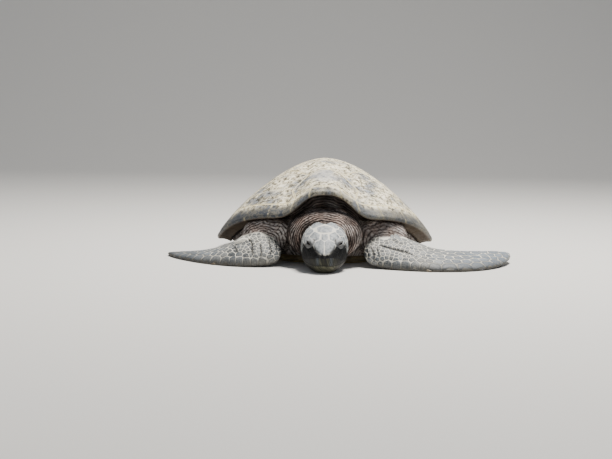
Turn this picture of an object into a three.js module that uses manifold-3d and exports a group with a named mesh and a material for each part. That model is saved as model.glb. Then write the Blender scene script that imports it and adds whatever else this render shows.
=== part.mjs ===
// A green sea turtle, life size, lying at rest on a level floor with its head down and its flippers spread.
// Millimetres, +Z up. +X is the animal's left, -Y is the way it faces, and the origin is on the floor
// under the middle of the plastron. Every scute of the shell, each length of limb, the beak, the eyes and
// the claws are solids of their own, which meet at narrow seams.
import * as THREE from "three";
import { mergeVertices } from "three/addons/utils/BufferGeometryUtils.js";
import Module from "manifold-3d";

const wasm = await Module();
wasm.setup();

// ---------------------------------------------------------------- driving dimensions
const SEAM = 1.2; // open width between two scutes
const CUT = 0.35; // gap left where one piece is cut by its neighbour
const SHELL = {
  halfWidth: 342,
  front: 370, // from the top of the dome forward to the rim
  back: 510, // and backward
  top: 302, // height of the dome above the floor
  centreY: -60,
  scuteThick: 5,
  boneDepth: 8, // the trunk's top lies this far under the scutes' outer face
  ring: 0.865, // where the marginal scutes meet the inner ones, as a share of the rim's radius
  ringFront: 0.045, // and how much nearer to the rim that is in front
};
const RIM = { side: 51, shoulder: 100, nuchalArch: 72, archAngle: 14, rear: 20, lip: 12 };
const PLASTRON = { halfWidth: 205, halfLength: 322, centreY: -22, thick: 22, power: 2.6 };
const MOUTH_HOLLOW = { depth: 0.15, halfAngle: 52 }; // how far the trunk stands back over the neck and arms
const HEAD = {
  backY: -408,
  baseZ: 25,
  pitch: 13, // degrees that the snout points down
  mouth: 31, // height of the gape above the head's base line
  jawRoot: 84, // where the gape begins, forward of the head's back
  beakRoot: [88, 30], // forward and height of the rear end of the upper beak's top edge
  beakSlope: 22, // degrees that this edge rises towards the nostrils
};
const EYE = { forward: 108, side: 36, height: 82, radius: 17 };
const CLAW = { radius: 4.5, tip: 0.9, rooted: 5, sideways: 0.65, bend: 4 };

const rad = (degrees) => (degrees * Math.PI) / 180;
const clamp = (x, low, high) => Math.min(high, Math.max(low, x));
const mix = (a, b, t) => a + (b - a) * t;

// ---------------------------------------------------------------- solids
// A closed geometry from points and triangles, turned to face outwards.
function closed(points, triangles) {
  let volume = 0;
  for (const [a, b, c] of triangles) {
    volume += points[a].dot(new THREE.Vector3().crossVectors(points[b], points[c]));
  }
  const faces = volume < 0 ? triangles.map(([a, b, c]) => [a, c, b]) : triangles;
  const geometry = new THREE.BufferGeometry();
  geometry.setAttribute(
    "position",
    new THREE.Float32BufferAttribute(points.flatMap((p) => p.toArray()), 3),
  );
  geometry.setIndex(faces.flat());
  return geometry;
}

// A solid carried along rings of points, each ring with as many points, its ends closed by fans.
function loft(rings) {
  const n = rings[0].length;
  const points = rings.flat();
  const triangles = [];
  for (let k = 0; k + 1 < rings.length; k++) {
    for (let i = 0; i < n; i++) {
      const [a, b] = [k * n + i, k * n + ((i + 1) % n)];
      triangles.push([a, b, b + n], [a, b + n, a + n]);
    }
  }
  for (const [ring, first, turn] of [[rings[0], 0, 1], [rings.at(-1), (rings.length - 1) * n, 0]]) {
    const middle = ring.reduce((sum, p) => sum.add(p), new THREE.Vector3()).divideScalar(n);
    points.push(middle);
    for (let i = 0; i < n; i++) {
      const [a, b] = [first + i, first + ((i + 1) % n)];
      triangles.push(turn ? [points.length - 1, b, a] : [points.length - 1, a, b]);
    }
  }
  return closed(points, triangles);
}

// A slab between two grids of points, of the same rows and columns.
function slab(upper, lower) {
  const [rows, columns] = [upper.length, upper[0].length];
  const points = [...upper.flat(), ...lower.flat()];
  const under = rows * columns;
  const triangles = [];
  for (let i = 0; i + 1 < rows; i++) {
    for (let j = 0; j + 1 < columns; j++) {
      const [a, d] = [i * columns + j, (i + 1) * columns + j];
      const [b, c] = [a + 1, d + 1];
      triangles.push([a, b, c], [a, c, d]);
      triangles.push([under + a, under + c, under + b], [under + a, under + d, under + c]);
    }
  }
  const edge = [];
  for (let j = 0; j + 1 < columns; j++) edge.push(j);
  for (let i = 0; i + 1 < rows; i++) edge.push(i * columns + columns - 1);
  for (let j = columns - 1; j > 0; j--) edge.push((rows - 1) * columns + j);
  for (let i = rows - 1; i > 0; i--) edge.push(i * columns);
  edge.forEach((a, k) => {
    const b = edge[(k + 1) % edge.length];
    triangles.push([b, a, under + a], [b, under + a, under + b]);
  });
  return closed(points, triangles);
}

// A geometry as a manifold-3d solid, and back again.
function solid(geometry) {
  const bare = geometry.clone();
  bare.deleteAttribute("normal");
  bare.deleteAttribute("uv");
  const merged = mergeVertices(bare, 1e-4);
  return new wasm.Manifold(
    new wasm.Mesh({
      numProp: 3,
      vertProperties: new Float32Array(merged.attributes.position.array),
      triVerts: new Uint32Array(merged.index.array),
    }),
  );
}

function geometryOf(made) {
  const { vertProperties, triVerts } = made.getMesh();
  return new THREE.BufferGeometry()
    .setAttribute("position", new THREE.BufferAttribute(vertProperties, 3))
    .setIndex(new THREE.BufferAttribute(triVerts, 1));
}

const turtle = new THREE.Group();
function add(name, shape, material) {
  const geometry = shape.isBufferGeometry ? shape : geometryOf(shape);
  const mesh = new THREE.Mesh(geometry, material);
  mesh.name = name;
  turtle.add(mesh);
}

// ---------------------------------------------------------------- finishes, one for each real material
const finish = (color, roughness) => new THREE.MeshStandardMaterial({ color, roughness, metalness: 0 });
const shellHorn = finish(0xb9b195, 0.6);
const plastronHorn = finish(0xcdbf8d, 0.6);
const skin = finish(0x7b6f68, 0.8);
const scaledSkin = finish(0x8f9290, 0.7);
const beakHorn = finish(0x5a5640, 0.5);
const clawHorn = finish(0x4a4338, 0.45);
const eyeball = finish(0x14100c, 0.1);

// ---------------------------------------------------------------- profiles
// Rows of [place, value, value, ...] read at any place between them, with a smooth (Catmull-Rom) curve.
function profile(rows, at) {
  const x = clamp(at, rows[0][0], rows.at(-1)[0]);
  let k = rows.findIndex((row, i) => i > 0 && x <= row[0]) - 1;
  k = clamp(k, 0, rows.length - 2);
  const [p0, p1, p2, p3] = [k - 1, k, k + 1, k + 2].map((i) => rows[clamp(i, 0, rows.length - 1)]);
  const span = p2[0] - p1[0];
  const t = (x - p1[0]) / span;
  return p1.slice(1).map((_, i) => {
    const j = i + 1;
    const m1 = ((p2[j] - p0[j]) / (p2[0] - p0[0])) * span;
    const m2 = ((p3[j] - p1[j]) / (p3[0] - p1[0])) * span;
    const [t2, t3] = [t * t, t * t * t];
    const [fromP1, fromP2] = [2 * t3 - 3 * t2 + 1, 3 * t2 - 2 * t3];
    return fromP1 * p1[j] + (t3 - 2 * t2 + t) * m1 + fromP2 * p2[j] + (t3 - t2) * m2;
  });
}

// ---------------------------------------------------------------- the dome of the shell
// The rim is a superellipse, blunt in front and drawn out behind; angles run from 0 in front to 180 behind.
function rimRadius(angle) {
  const a = rad(Math.abs(angle));
  const power = mix(2.3, 1.8, (1 - Math.cos(a)) / 2);
  const length = Math.cos(a) > 0 ? SHELL.front : SHELL.back;
  const gauge =
    Math.pow(Math.sin(a) / SHELL.halfWidth, power) + Math.pow(Math.abs(Math.cos(a)) / length, power);
  return Math.pow(gauge, -1 / power);
}

// The rim is arched over the neck, dips and runs level over the shoulders, and hangs low along the flanks.
function rimHeight(angle) {
  const a = Math.abs(angle);
  const fall = 0.5 + 0.5 * Math.cos(rad(180 * clamp((a - 22) / 72, 0, 1)));
  const arch = Math.exp(-Math.pow(a / RIM.archAngle, 3));
  const rear = Math.exp(-Math.pow((a - 142) / 24, 2));
  return RIM.side + RIM.shoulder * fall + RIM.nuchalArch * arch + RIM.rear * rear;
}

// How far the dome has fallen from its top at a share r of the way to the rim.
const fallShare = (r) => 0.94 * Math.pow(r, 1.72) + 0.06 * Math.pow(r, 9);

function dome(angle, r, depth = 0) {
  const a = rad(angle);
  const across = r * rimRadius(angle);
  const rim = rimHeight(angle);
  const z = rim + (SHELL.top - rim) * (1 - fallShare(r));
  return new THREE.Vector3(Math.sin(a) * across, SHELL.centreY - Math.cos(a) * across, z - depth);
}

// Where the marginal scutes meet the inner ones.
const ringShare = (angle) => SHELL.ring + SHELL.ringFront * Math.exp(-Math.pow(angle / 62, 2));

// The same surface over a point of the plan.
function domeOver(x, y) {
  const back = y - SHELL.centreY;
  const angle = (Math.atan2(x, -back) * 180) / Math.PI;
  return dome(angle, Math.hypot(x, back) / rimRadius(angle));
}

// The point under the dome at x, y, a depth inwards along the surface's normal.
function underDome(x, y, depth) {
  const step = 2;
  const along = domeOver(x + step, y).sub(domeOver(x - step, y));
  const back = domeOver(x, y + step).sub(domeOver(x, y - step));
  const normal = along.cross(back).normalize();
  return domeOver(x, y).addScaledVector(normal, -depth);
}

// ---------------------------------------------------------------- inner scutes
// Corners of the vertebral scutes on the animal's left, [x, y]; the right is their mirror.
// The seams between the costal scutes meet the marginal ring at these angles.
const seams = { c1Front: 15, c1Back: 70, c2Back: 108, c3Back: 141, c4Back: 165 };
const onRing = (angle) => {
  const p = dome(angle, ringShare(angle));
  return [p.x, p.y];
};
const corner = {
  v1Side: [98, -322],
  v12: [50, -255],
  v2Side: [112, -165],
  v23: [58, -78],
  v3Side: [115, 12],
  v34: [52, 98],
  v4Side: [98, 182],
  v45: [36, 262],
};
const c1Front = onRing(seams.c1Front);
const v5Back = onRing(seams.c4Back);

// A point on a broken line of [x, y] corners, each with its share of the way.
function alongLine(line, share) {
  const k = clamp(line.findIndex(([at], i) => i > 0 && share <= at) - 1, 0, line.length - 2);
  const [from, to] = [line[k], line[k + 1]];
  const t = (share - from[0]) / (to[0] - from[0]);
  return [mix(from[1][0], to[1][0], t), mix(from[1][1], to[1][1], t)];
}

// A plate of horn over a grid of [x, y] places.
const plate = (grid) =>
  slab(
    grid.map((line) => line.map(([x, y]) => domeOver(x, y))),
    grid.map((line) => line.map(([x, y]) => underDome(x, y, SHELL.scuteThick))),
  );

// A scute between two edges that run from front to back, each a function of a share from 0 to 1.
function scute(edgeA, edgeB, rows, columns) {
  const plan = (u, v) => {
    const [a, b] = [edgeA(v), edgeB(v)];
    return [mix(a[0], b[0], u), mix(a[1], b[1], u)];
  };
  const size = (p, q) => Math.hypot(p[0] - q[0], p[1] - q[1]);
  const inset = SEAM / 2;
  const endLength = size(plan(0.5, 0), plan(0.5, 1));
  return plate(
    Array.from({ length: rows + 1 }, (_, i) => {
      const v = mix(inset / endLength, 1 - inset / endLength, i / rows);
      const width = Math.max(1, size(edgeA(v), edgeB(v)));
      return Array.from({ length: columns + 1 }, (__, j) =>
        plan(mix(inset / width, 1 - inset / width, j / columns), v),
      );
    }),
  );
}

const mirror = ([x, y]) => [-x, y];

// The left edge of each vertebral scute, from front to back.
const vertebralEdges = [
  [[0, c1Front], [0.4, corner.v1Side], [1, corner.v12]],
  [[0, corner.v12], [0.5, corner.v2Side], [1, corner.v23]],
  [[0, corner.v23], [0.5, corner.v3Side], [1, corner.v34]],
  [[0, corner.v34], [0.5, corner.v4Side], [1, corner.v45]],
  [[0, corner.v45], [1, v5Back]],
];
const VERTEBRAL = { rows: 4, columns: 6, length: 150 };
vertebralEdges.forEach((edge, i) => {
  // The first scute's front edge and the last one's rear edge follow the marginal ring.
  const bow = (v, across) => {
    const [front, rear] = [i === 0 ? 1 - v : 0, i === vertebralEdges.length - 1 ? v : 0];
    const depth = front * (c1Front[1] - onRing(0)[1]) + rear * (v5Back[1] - onRing(180)[1]);
    return depth * (1 - across * across);
  };
  const inset = SEAM / 2 / VERTEBRAL.length;
  const grid = Array.from({ length: VERTEBRAL.rows + 1 }, (_, r) => {
    const v = mix(inset, 1 - inset, r / VERTEBRAL.rows);
    const [x, y] = alongLine(edge, v);
    return Array.from({ length: VERTEBRAL.columns + 1 }, (__, j) => {
      const across = mix(-1, 1, j / VERTEBRAL.columns);
      return [(x - SEAM / 2) * across, y - bow(v, across)];
    });
  });
  add(`vertebral_scute_${i + 1}`, plate(grid), shellHorn);
});

// The costal scutes lie between the vertebral ones and a stretch of the marginal ring.
const costals = [
  {
    medial: [[0, c1Front], [0.25, corner.v1Side], [0.6, corner.v12], [1, corner.v2Side]],
    ring: [seams.c1Front, seams.c1Back],
    rows: 7,
  },
  {
    medial: [[0, corner.v2Side], [0.5, corner.v23], [1, corner.v3Side]],
    ring: [seams.c1Back, seams.c2Back],
    rows: 4,
  },
  {
    medial: [[0, corner.v3Side], [0.5, corner.v34], [1, corner.v4Side]],
    ring: [seams.c2Back, seams.c3Back],
    rows: 4,
  },
  {
    medial: [[0, corner.v4Side], [0.45, corner.v45], [1, v5Back]],
    ring: [seams.c3Back, seams.c4Back],
    rows: 4,
  },
];
for (const [side, turn] of [["left", (p) => p], ["right", mirror]]) {
  costals.forEach(({ medial, ring, rows }, i) => {
    const inner = (v) => turn(alongLine(medial, v));
    const outer = (v) => turn(onRing(mix(ring[0], ring[1], v)));
    add(`costal_scute_${side}_${i + 1}`, scute(inner, outer, rows, 4), shellHorn);
  });
}

// ---------------------------------------------------------------- marginal scutes
// Each is a wedge: the dome's outer face, a rounded lip, and an underside that runs back to the trunk.
const wedgeDepth = (angle) => 25 + 55 * Math.pow(Math.sin(rad(Math.abs(angle))), 1.5);
function wedge(angle, grow = 0) {
  const lipTop = 0.982;
  const inside = ringShare(angle) + 0.003;
  const lip = dome(angle, lipTop).setZ(rimHeight(angle) - RIM.lip);
  const corners = [
    [dome(angle, inside), -1, 1],
    [dome(angle, mix(inside, lipTop, 0.5)), 0, 1],
    [dome(angle, lipTop), 1, 1],
    [dome(angle, 1, RIM.lip * 0.4), 1, 0],
    [lip, 1, -1],
    [dome(angle, inside, wedgeDepth(angle)), -1, -1],
  ];
  const outward = new THREE.Vector3(Math.sin(rad(angle)), -Math.cos(rad(angle)), 0);
  return corners.map(([corner, out, up]) =>
    corner.addScaledVector(outward, out * grow).add(new THREE.Vector3(0, 0, up * grow)),
  );
}

// Half the angle of the nuchal scute, and the lengths of the scutes behind it as shares of each other:
// eleven marginals, longest along the flanks, and the supracaudal.
const nuchalHalf = 7.2;
const scuteLengths = [0.66, 0.74, 0.84, 0.94, 1.02, 1.08, 1.1, 1.1, 1.08, 1.04, 0.98, 0.9];

// The angles of the seams between them, found by walking round the rim.
function rimSeams() {
  const steps = 400;
  const at = (k) => mix(nuchalHalf, 180, k / steps);
  const run = [0];
  for (let k = 1; k <= steps; k++) run.push(run[k - 1] + dome(at(k), 1).distanceTo(dome(at(k - 1), 1)));
  const whole = scuteLengths.reduce((sum, length) => sum + length, 0);
  let reached = 0;
  return [0, ...scuteLengths].map((length) => {
    reached += length;
    const wanted = (run[steps] * reached) / whole;
    const k = Math.max(1, run.findIndex((far) => far >= wanted - 1e-6));
    return at(k - 1 + (wanted - run[k - 1]) / (run[k] - run[k - 1]));
  });
}
const marginSeams = rimSeams();

function marginal(from, to, steps) {
  const inset = (SEAM / 2 / rimRadius((from + to) / 2)) * (180 / Math.PI);
  return loft(
    Array.from({ length: steps + 1 }, (_, k) => wedge(mix(from + inset, to - inset, k / steps))),
  );
}
add("nuchal_scute", marginal(-nuchalHalf, nuchalHalf, 6), shellHorn);
for (const [side, sign] of [["left", 1], ["right", -1]]) {
  for (let i = 0; i < scuteLengths.length; i++) {
    const [from, to] = [sign * marginSeams[i], sign * marginSeams[i + 1]].sort((a, b) => a - b);
    const kind = i < scuteLengths.length - 1 ? "marginal" : "supracaudal";
    const place = kind === "marginal" ? `_${i + 1}` : "";
    add(`${kind}_scute_${side}${place}`, marginal(from, to, 3), shellHorn);
  }
}

// ---------------------------------------------------------------- plastron and trunk
function plastronRing(share, z, count) {
  return Array.from({ length: count }, (_, i) => {
    const a = (2 * Math.PI * i) / count;
    const power = 2 / PLASTRON.power;
    const reach = (value, size) => Math.sign(value) * Math.pow(Math.abs(value), power) * size * share;
    return new THREE.Vector3(
      reach(Math.sin(a), PLASTRON.halfWidth),
      PLASTRON.centreY - reach(Math.cos(a), PLASTRON.halfLength),
      z,
    );
  });
}
add(
  "plastron",
  loft([
    plastronRing(0.93, 0, 28),
    plastronRing(0.985, 5, 28),
    plastronRing(1, 13, 28),
    plastronRing(0.97, PLASTRON.thick, 28),
  ]),
  plastronHorn,
);

// The trunk fills the shell: its floor lies on the plastron and its flanks lean out to the marginal ring.
// In front it is hollowed under the rim, where the neck and the arms come out.
function trunkShape(grow = 0) {
  const count = 40;
  const angles = Array.from({ length: count }, (_, i) => ((360 * i) / count + 180) % 360 - 180);
  const meanRadius = 380;
  const wall = (a) => ringShare(a) - 0.006 + grow / meanRadius;
  const hollow = (a) => MOUTH_HOLLOW.depth * Math.exp(-Math.pow(a / MOUTH_HOLLOW.halfAngle, 4));
  const under = (a, r, depth) => dome(a, r, depth - grow);
  const flank = (a, share) => {
    const p = under(a, wall(a) - hollow(a), 34);
    return p.setZ(mix(Math.max(46, p.z - wedgeDepth(a) - 50), p.z, share));
  };
  const rings = [
    plastronRing(0.965, PLASTRON.thick + CUT - grow, count),
    angles.map((a) => flank(a, 0)),
    angles.map((a) => flank(a, 1)),
    angles.map((a) => under(a, wall(a), SHELL.boneDepth + 5)),
  ];
  for (const r of [0.7, 0.5, 0.28]) {
    rings.push(angles.map((a) => under(a, r, SHELL.boneDepth + 2.5 * r)));
  }
  return solid(loft(rings));
}
const trunk = trunkShape();
const trunkRoom = trunkShape(CUT);
add("trunk", trunk, skin);

// The ring of marginal scutes, a little enlarged, to cut what passes under it.
const rimRoom = (() => {
  const half = [];
  for (let i = 0; i < scuteLengths.length; i++) {
    for (const t of [0, 1 / 3, 2 / 3]) half.push(mix(marginSeams[i], marginSeams[i + 1], t));
  }
  const angles = [-6, -3, 0, 3, 6, ...half, 180, ...half.map((a) => -a).reverse()];
  const count = angles.length;
  const rings = angles.map((a) => wedge(a, CUT + 0.5));
  const n = rings[0].length;
  const triangles = [];
  for (let k = 0; k < count; k++) {
    for (let i = 0; i < n; i++) {
      const [a, b] = [k * n + i, k * n + ((i + 1) % n)];
      const [c, d] = [((k + 1) % count) * n + ((i + 1) % n), ((k + 1) % count) * n + i];
      triangles.push([a, b, c], [a, c, d]);
    }
  }
  return solid(closed(rings.flat(), triangles));
})();

// How far an enlarged limb runs on past its two end rings.
const pastEnd = (k, rings, grow) => (k === 0 ? -grow : k === rings ? grow : 0);

// ---------------------------------------------------------------- round lengths: neck, arms, thighs, tail
// Rows of [share, x, y, z, half width, half height]; rings stand square to the path.
function roundLimb(rows, rings, sides, grow = 0) {
  const path = (s) => new THREE.Vector3(...profile(rows, s).slice(0, 3));
  return loft(
    Array.from({ length: rings + 1 }, (_, k) => {
      const s = k / rings;
      const [, , , wide, high] = profile(rows, s);
      const ahead = path(Math.min(1, s + 0.02)).sub(path(Math.max(0, s - 0.02))).normalize();
      const { x, y, z } = path(s).addScaledVector(ahead, pastEnd(k, rings, grow));
      const across = new THREE.Vector3().crossVectors(ahead, new THREE.Vector3(0, 0, 1)).normalize();
      const up = new THREE.Vector3().crossVectors(across, ahead);
      return Array.from({ length: sides }, (_, i) => {
        const a = (2 * Math.PI * i) / sides;
        return new THREE.Vector3(x, y, z)
          .addScaledVector(across, Math.cos(a) * (wide + grow))
          .addScaledVector(up, Math.sin(a) * (high + grow));
      });
    }),
  );
}

const NECK = [
  [0, 0, -290, 104, 108, 72],
  [0.35, 0, -350, 99, 112, 74],
  [0.65, 0, -400, 93, 112, 78],
  [0.85, 0, -430, 84, 100, 72],
  [1, 0, -452, 76, 80, 58],
];
const upperArmRows = (sign) => [
  [0, sign * 126, -236, 84, 74, 48],
  [0.35, sign * 156, -290, 87, 82, 54],
  [0.65, sign * 172, -334, 86, 77, 54],
  [0.88, sign * 178, -364, 74, 62, 43],
  [1, sign * 178, -382, 64, 36, 26],
];
const thighRows = (sign) => [
  [0, sign * 110, 230, 66, 62, 40],
  [0.4, sign * 150, 300, 50, 64, 29],
  [0.65, sign * 172, 338, 39, 58, 20],
  [0.85, sign * 186, 366, 35, 46, 18],
  [1, sign * 196, 392, 32, 28, 13],
];
const TAIL = [
  [0, 0, 290, 66, 52, 36],
  [0.5, 0, 385, 44, 34, 24],
  [0.85, 0, 446, 24, 18, 14],
  [1, 0, 470, 16, 6, 5],
];

// ---------------------------------------------------------------- flippers
// Rows of [share, x, y, z, chord, thickness, tilt] of the middle of the blade. The tilt raises the
// trailing edge, so near the elbow the upper face looks forward.
const FRONT_LEFT = [
  [0, 124, -398, 52, 46, 34, 62],
  [0.06, 142, -406, 48, 86, 58, 60],
  [0.2, 196, -414, 46, 122, 62, 52],
  [0.36, 256, -424, 37, 132, 50, 34],
  [0.52, 322, -428, 27, 136, 36, 23],
  [0.68, 388, -416, 25, 132, 26, 20],
  [0.82, 450, -375, 24, 120, 20, 18],
  [0.92, 502, -314, 24, 94, 15, 17],
  [0.98, 541, -256, 26, 56, 10, 15],
  [1, 557, -228, 27, 22, 6, 13],
];
const FRONT_RIGHT = [
  [0, -134, -398, 47, 44, 34, 62],
  [0.06, -150, -404, 48, 86, 58, 58],
  [0.2, -196, -406, 52, 126, 66, 58],
  [0.36, -250, -391, 44, 132, 54, 44],
  [0.54, -316, -346, 26, 124, 35, 24],
  [0.72, -380, -288, 15, 106, 23, 13],
  [0.88, -434, -232, 9, 78, 15, 7],
  [0.96, -464, -203, 7, 48, 11, 5],
  [1, -478, -190, 6, 20, 7, 4],
];
const hindRows = (sign) => [
  [0, sign * 176, 336, 37, 50, 30, 8],
  [0.1, sign * 186, 358, 34, 84, 38, 8],
  [0.35, sign * 214, 418, 26, 94, 34, 12],
  [0.65, sign * 246, 492, 13, 118, 24, 9],
  [0.88, sign * 268, 552, 7, 106, 16, 5],
  [1, sign * 280, 592, 5, 36, 8, 3],
];

// A flat blade: round and thick at its leading edge, thin at its trailing one.
function bladeFrame(rows, s) {
  const [x, y, z, chord, thick, tilt] = profile(rows, s);
  const path = (t) => new THREE.Vector3(...profile(rows, t).slice(0, 3));
  const ahead = path(Math.min(1, s + 0.02)).sub(path(Math.max(0, s - 0.02))).setZ(0).normalize();
  const level = new THREE.Vector3(-ahead.y, ahead.x, 0);
  if (level.y < 0) level.negate();
  const back = level.multiplyScalar(Math.cos(rad(tilt))).setZ(Math.sin(rad(tilt)));
  const face = new THREE.Vector3().crossVectors(back, ahead);
  if (face.z < 0) face.negate();
  return { at: new THREE.Vector3(x, y, z), back, face, ahead, chord, thick };
}
function blade(rows, rings, sides, grow = 0) {
  return loft(
    Array.from({ length: rings + 1 }, (_, k) => {
      const { at, back, face, ahead, chord, thick } = bladeFrame(rows, k / rings);
      at.addScaledVector(ahead, pastEnd(k, rings, grow));
      return Array.from({ length: sides }, (_, i) => {
        const a = (2 * Math.PI * i) / sides;
        const c = -Math.cos(a);
        const fullness = 0.72 - 0.28 * c;
        return at
          .clone()
          .addScaledVector(back, c * (chord / 2 + grow))
          .addScaledVector(face, Math.sin(a) * ((thick / 2) * fullness + 1.5 * grow));
      });
    }),
  );
}

// A claw: a small bent cone that grows out of the leading edge and points outwards along it.
function claw(rows, share, length) {
  const sides = 7;
  const { at, back, ahead, chord, face } = bladeFrame(rows, share);
  const root = at.addScaledVector(back, CLAW.rooted - chord / 2).addScaledVector(face, 1);
  const way = ahead.clone().multiplyScalar(0.75).addScaledVector(back, -CLAW.sideways).normalize();
  const side = new THREE.Vector3().crossVectors(way, face).normalize();
  const rings = [0, 0.5, 0.8, 1].map((t) => {
    const radius = mix(CLAW.radius, CLAW.tip, t);
    const centre = root
      .clone()
      .addScaledVector(way, t * length)
      .addScaledVector(back, CLAW.bend * t * t);
    centre.z = Math.max(centre.z, radius + 0.5);
    return Array.from({ length: sides }, (_, i) => {
      const a = (2 * Math.PI * i) / sides;
      return centre
        .clone()
        .addScaledVector(side, Math.cos(a) * radius)
        .addScaledVector(face, Math.sin(a) * radius);
    });
  });
  return solid(loft(rings));
}

// ---------------------------------------------------------------- head
// In the head's own frame: forward along the skull from its back, and height above the jaw.
// Each profile has the stations along the skull and, at each, the crown, the throat or half the width.
const headTop = [
  [0, 94], [14, 110], [34, 118], [60, 118], [88, 111], [114, 101], [138, 87], [153, 76], [162, 68], [166, 61],
];
const headBottom = [
  [0, 22], [20, 6], [50, -2], [85, -3], [112, -2], [134, 4], [150, 15], [160, 32], [164, 45], [166, 57],
];
const headHalf = [
  [0, 48], [16, 58], [38, 66], [62, 68], [90, 64], [114, 54], [136, 42], [152, 30], [162, 19], [166, 9],
];
const headBase = new THREE.Vector3(0, HEAD.backY, HEAD.baseZ);
const headForward = new THREE.Vector3(0, -Math.cos(rad(HEAD.pitch)), -Math.sin(rad(HEAD.pitch)));
const headUp = new THREE.Vector3(0, -Math.sin(rad(HEAD.pitch)), Math.cos(rad(HEAD.pitch)));
const inHead = (forward, side, height) =>
  headBase
    .clone()
    .addScaledVector(headForward, forward)
    .addScaledVector(headUp, height)
    .add(new THREE.Vector3(side, 0, 0));

// Its sections are ovals, a little squared, widest below half their height.
function headShape(grow = 0) {
  const sides = 22;
  const stations = [0, 10, 24, 42, 62, 82, 100, 116, 130, 142, 151, 158, 163, 166];
  return loft(
    stations.map((forward, k) => {
      const [top] = profile(headTop, forward);
      const [bottom] = profile(headBottom, forward);
      const [half] = profile(headHalf, forward);
      const middle = mix(bottom, top, 0.46);
      const along = forward + (k === 0 ? -grow : k === stations.length - 1 ? grow : 0);
      return Array.from({ length: sides }, (_, i) => {
        const a = (2 * Math.PI * i) / sides;
        const [c, s] = [Math.cos(a), Math.sin(a)];
        const width = Math.sign(c) * Math.pow(Math.abs(c), 0.82) * (half + grow);
        const reach = s > 0 ? top - middle : middle - bottom;
        const height = Math.sign(s) * Math.pow(Math.abs(s), 0.85) * (reach + grow);
        return inHead(along, width, middle + height);
      });
    }),
  );
}

// A solid of the head's own frame, put in its place: x is sideways, -y forward and z height.
const placedInHead = (geometry) =>
  solid(geometry.rotateX(rad(HEAD.pitch)).translate(headBase.x, headBase.y, headBase.z));

// What lies in front of a place and below a height, or below the beak's slanting top edge.
const ROOM = 200;
const belowGape = (forward, height) =>
  placedInHead(
    new THREE.BoxGeometry(ROOM, ROOM, ROOM).translate(0, -forward - ROOM / 2, height - ROOM / 2),
  );
const belowBeakEdge = (rise) =>
  placedInHead(
    new THREE.BoxGeometry(ROOM, ROOM, ROOM)
      .translate(0, -ROOM / 2, rise - ROOM / 2)
      .rotateX(rad(-HEAD.beakSlope))
      .translate(0, -HEAD.beakRoot[0], HEAD.beakRoot[1]),
  );

const floorRoom = solid(new THREE.BoxGeometry(3000, 3000, 400).translate(0, 0, -200));
const standing = (made) => made.subtract(floorRoom);
const wholeHead = solid(headShape());
const headRoom = solid(headShape(CUT));
const jaw = wholeHead.intersect(belowGape(HEAD.jawRoot, HEAD.mouth - CUT / 2));
const cranium = wholeHead.subtract(belowGape(HEAD.jawRoot - CUT, HEAD.mouth + CUT / 2));
const upperBeak = cranium.intersect(belowBeakEdge(-CUT));
const eyeBall = (sign, radius) => {
  const { x, y, z } = inHead(EYE.forward, sign * EYE.side, EYE.height);
  return solid(new THREE.SphereGeometry(radius, 11, 7).translate(x, y, z));
};
let skull = cranium.subtract(belowBeakEdge(0));
for (const [side, sign] of [["left", 1], ["right", -1]]) {
  skull = skull.subtract(eyeBall(sign, EYE.radius + CUT));
  add(`eye_${side}`, eyeBall(sign, EYE.radius), eyeball);
}
add("head", skull, scaledSkin);
add("upper_beak", upperBeak, beakHorn);
add("lower_jaw", standing(jaw), beakHorn);

// ---------------------------------------------------------------- neck, limbs and tail, parted by thin cuts
const shellRoom = trunkRoom.add(rimRoom);
const neck = solid(roundLimb(NECK, 7, 20)).subtract(shellRoom).subtract(headRoom);
const neckRoom = solid(roundLimb(NECK, 7, 20, CUT));
add("neck", standing(neck), skin);

const BLADE = { sides: 12, frontRings: 14, hindRings: 10 };
for (const [side, sign, front] of [["left", 1, FRONT_LEFT], ["right", -1, FRONT_RIGHT]]) {
  const flipper = solid(blade(front, BLADE.frontRings, BLADE.sides)).subtract(neckRoom);
  const flipperRoom = solid(blade(front, BLADE.frontRings, BLADE.sides, CUT + 0.3));
  const arm = solid(roundLimb(upperArmRows(sign), 6, 14))
    .subtract(shellRoom)
    .subtract(neckRoom)
    .subtract(flipperRoom);
  add(`upper_arm_${side}`, standing(arm), skin);
  add(`front_flipper_${side}`, standing(flipper), scaledSkin);
  add(`front_claw_${side}`, standing(claw(front, 0.46, 22).subtract(flipperRoom)), clawHorn);

  const hind = hindRows(sign);
  const hindFlipper = solid(blade(hind, BLADE.hindRings, BLADE.sides)).subtract(shellRoom);
  const hindRoom = solid(blade(hind, BLADE.hindRings, BLADE.sides, CUT + 0.3));
  const thigh = solid(roundLimb(thighRows(sign), 5, 14)).subtract(shellRoom).subtract(hindRoom);
  add(`thigh_${side}`, standing(thigh), skin);
  add(`hind_flipper_${side}`, standing(hindFlipper), scaledSkin);
  add(`hind_claw_${side}`, standing(claw(hind, 0.5, 17).subtract(hindRoom)), clawHorn);
}
add("tail", standing(solid(roundLimb(TAIL, 6, 12)).subtract(shellRoom)), skin);

export default turtle;
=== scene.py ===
"""A green sea turtle at rest, life size, as a museum model: horn shell, wrinkled skin, scaled flippers.

Every length is in metres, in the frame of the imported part: +Z up from the floor, -Y the way the
animal faces, +X its left side. Shapes repeat the sizes of the solids and add the surface to them.
"""

import bpy
import numpy as np
import openvdb
from mathutils import Matrix, Vector


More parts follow.
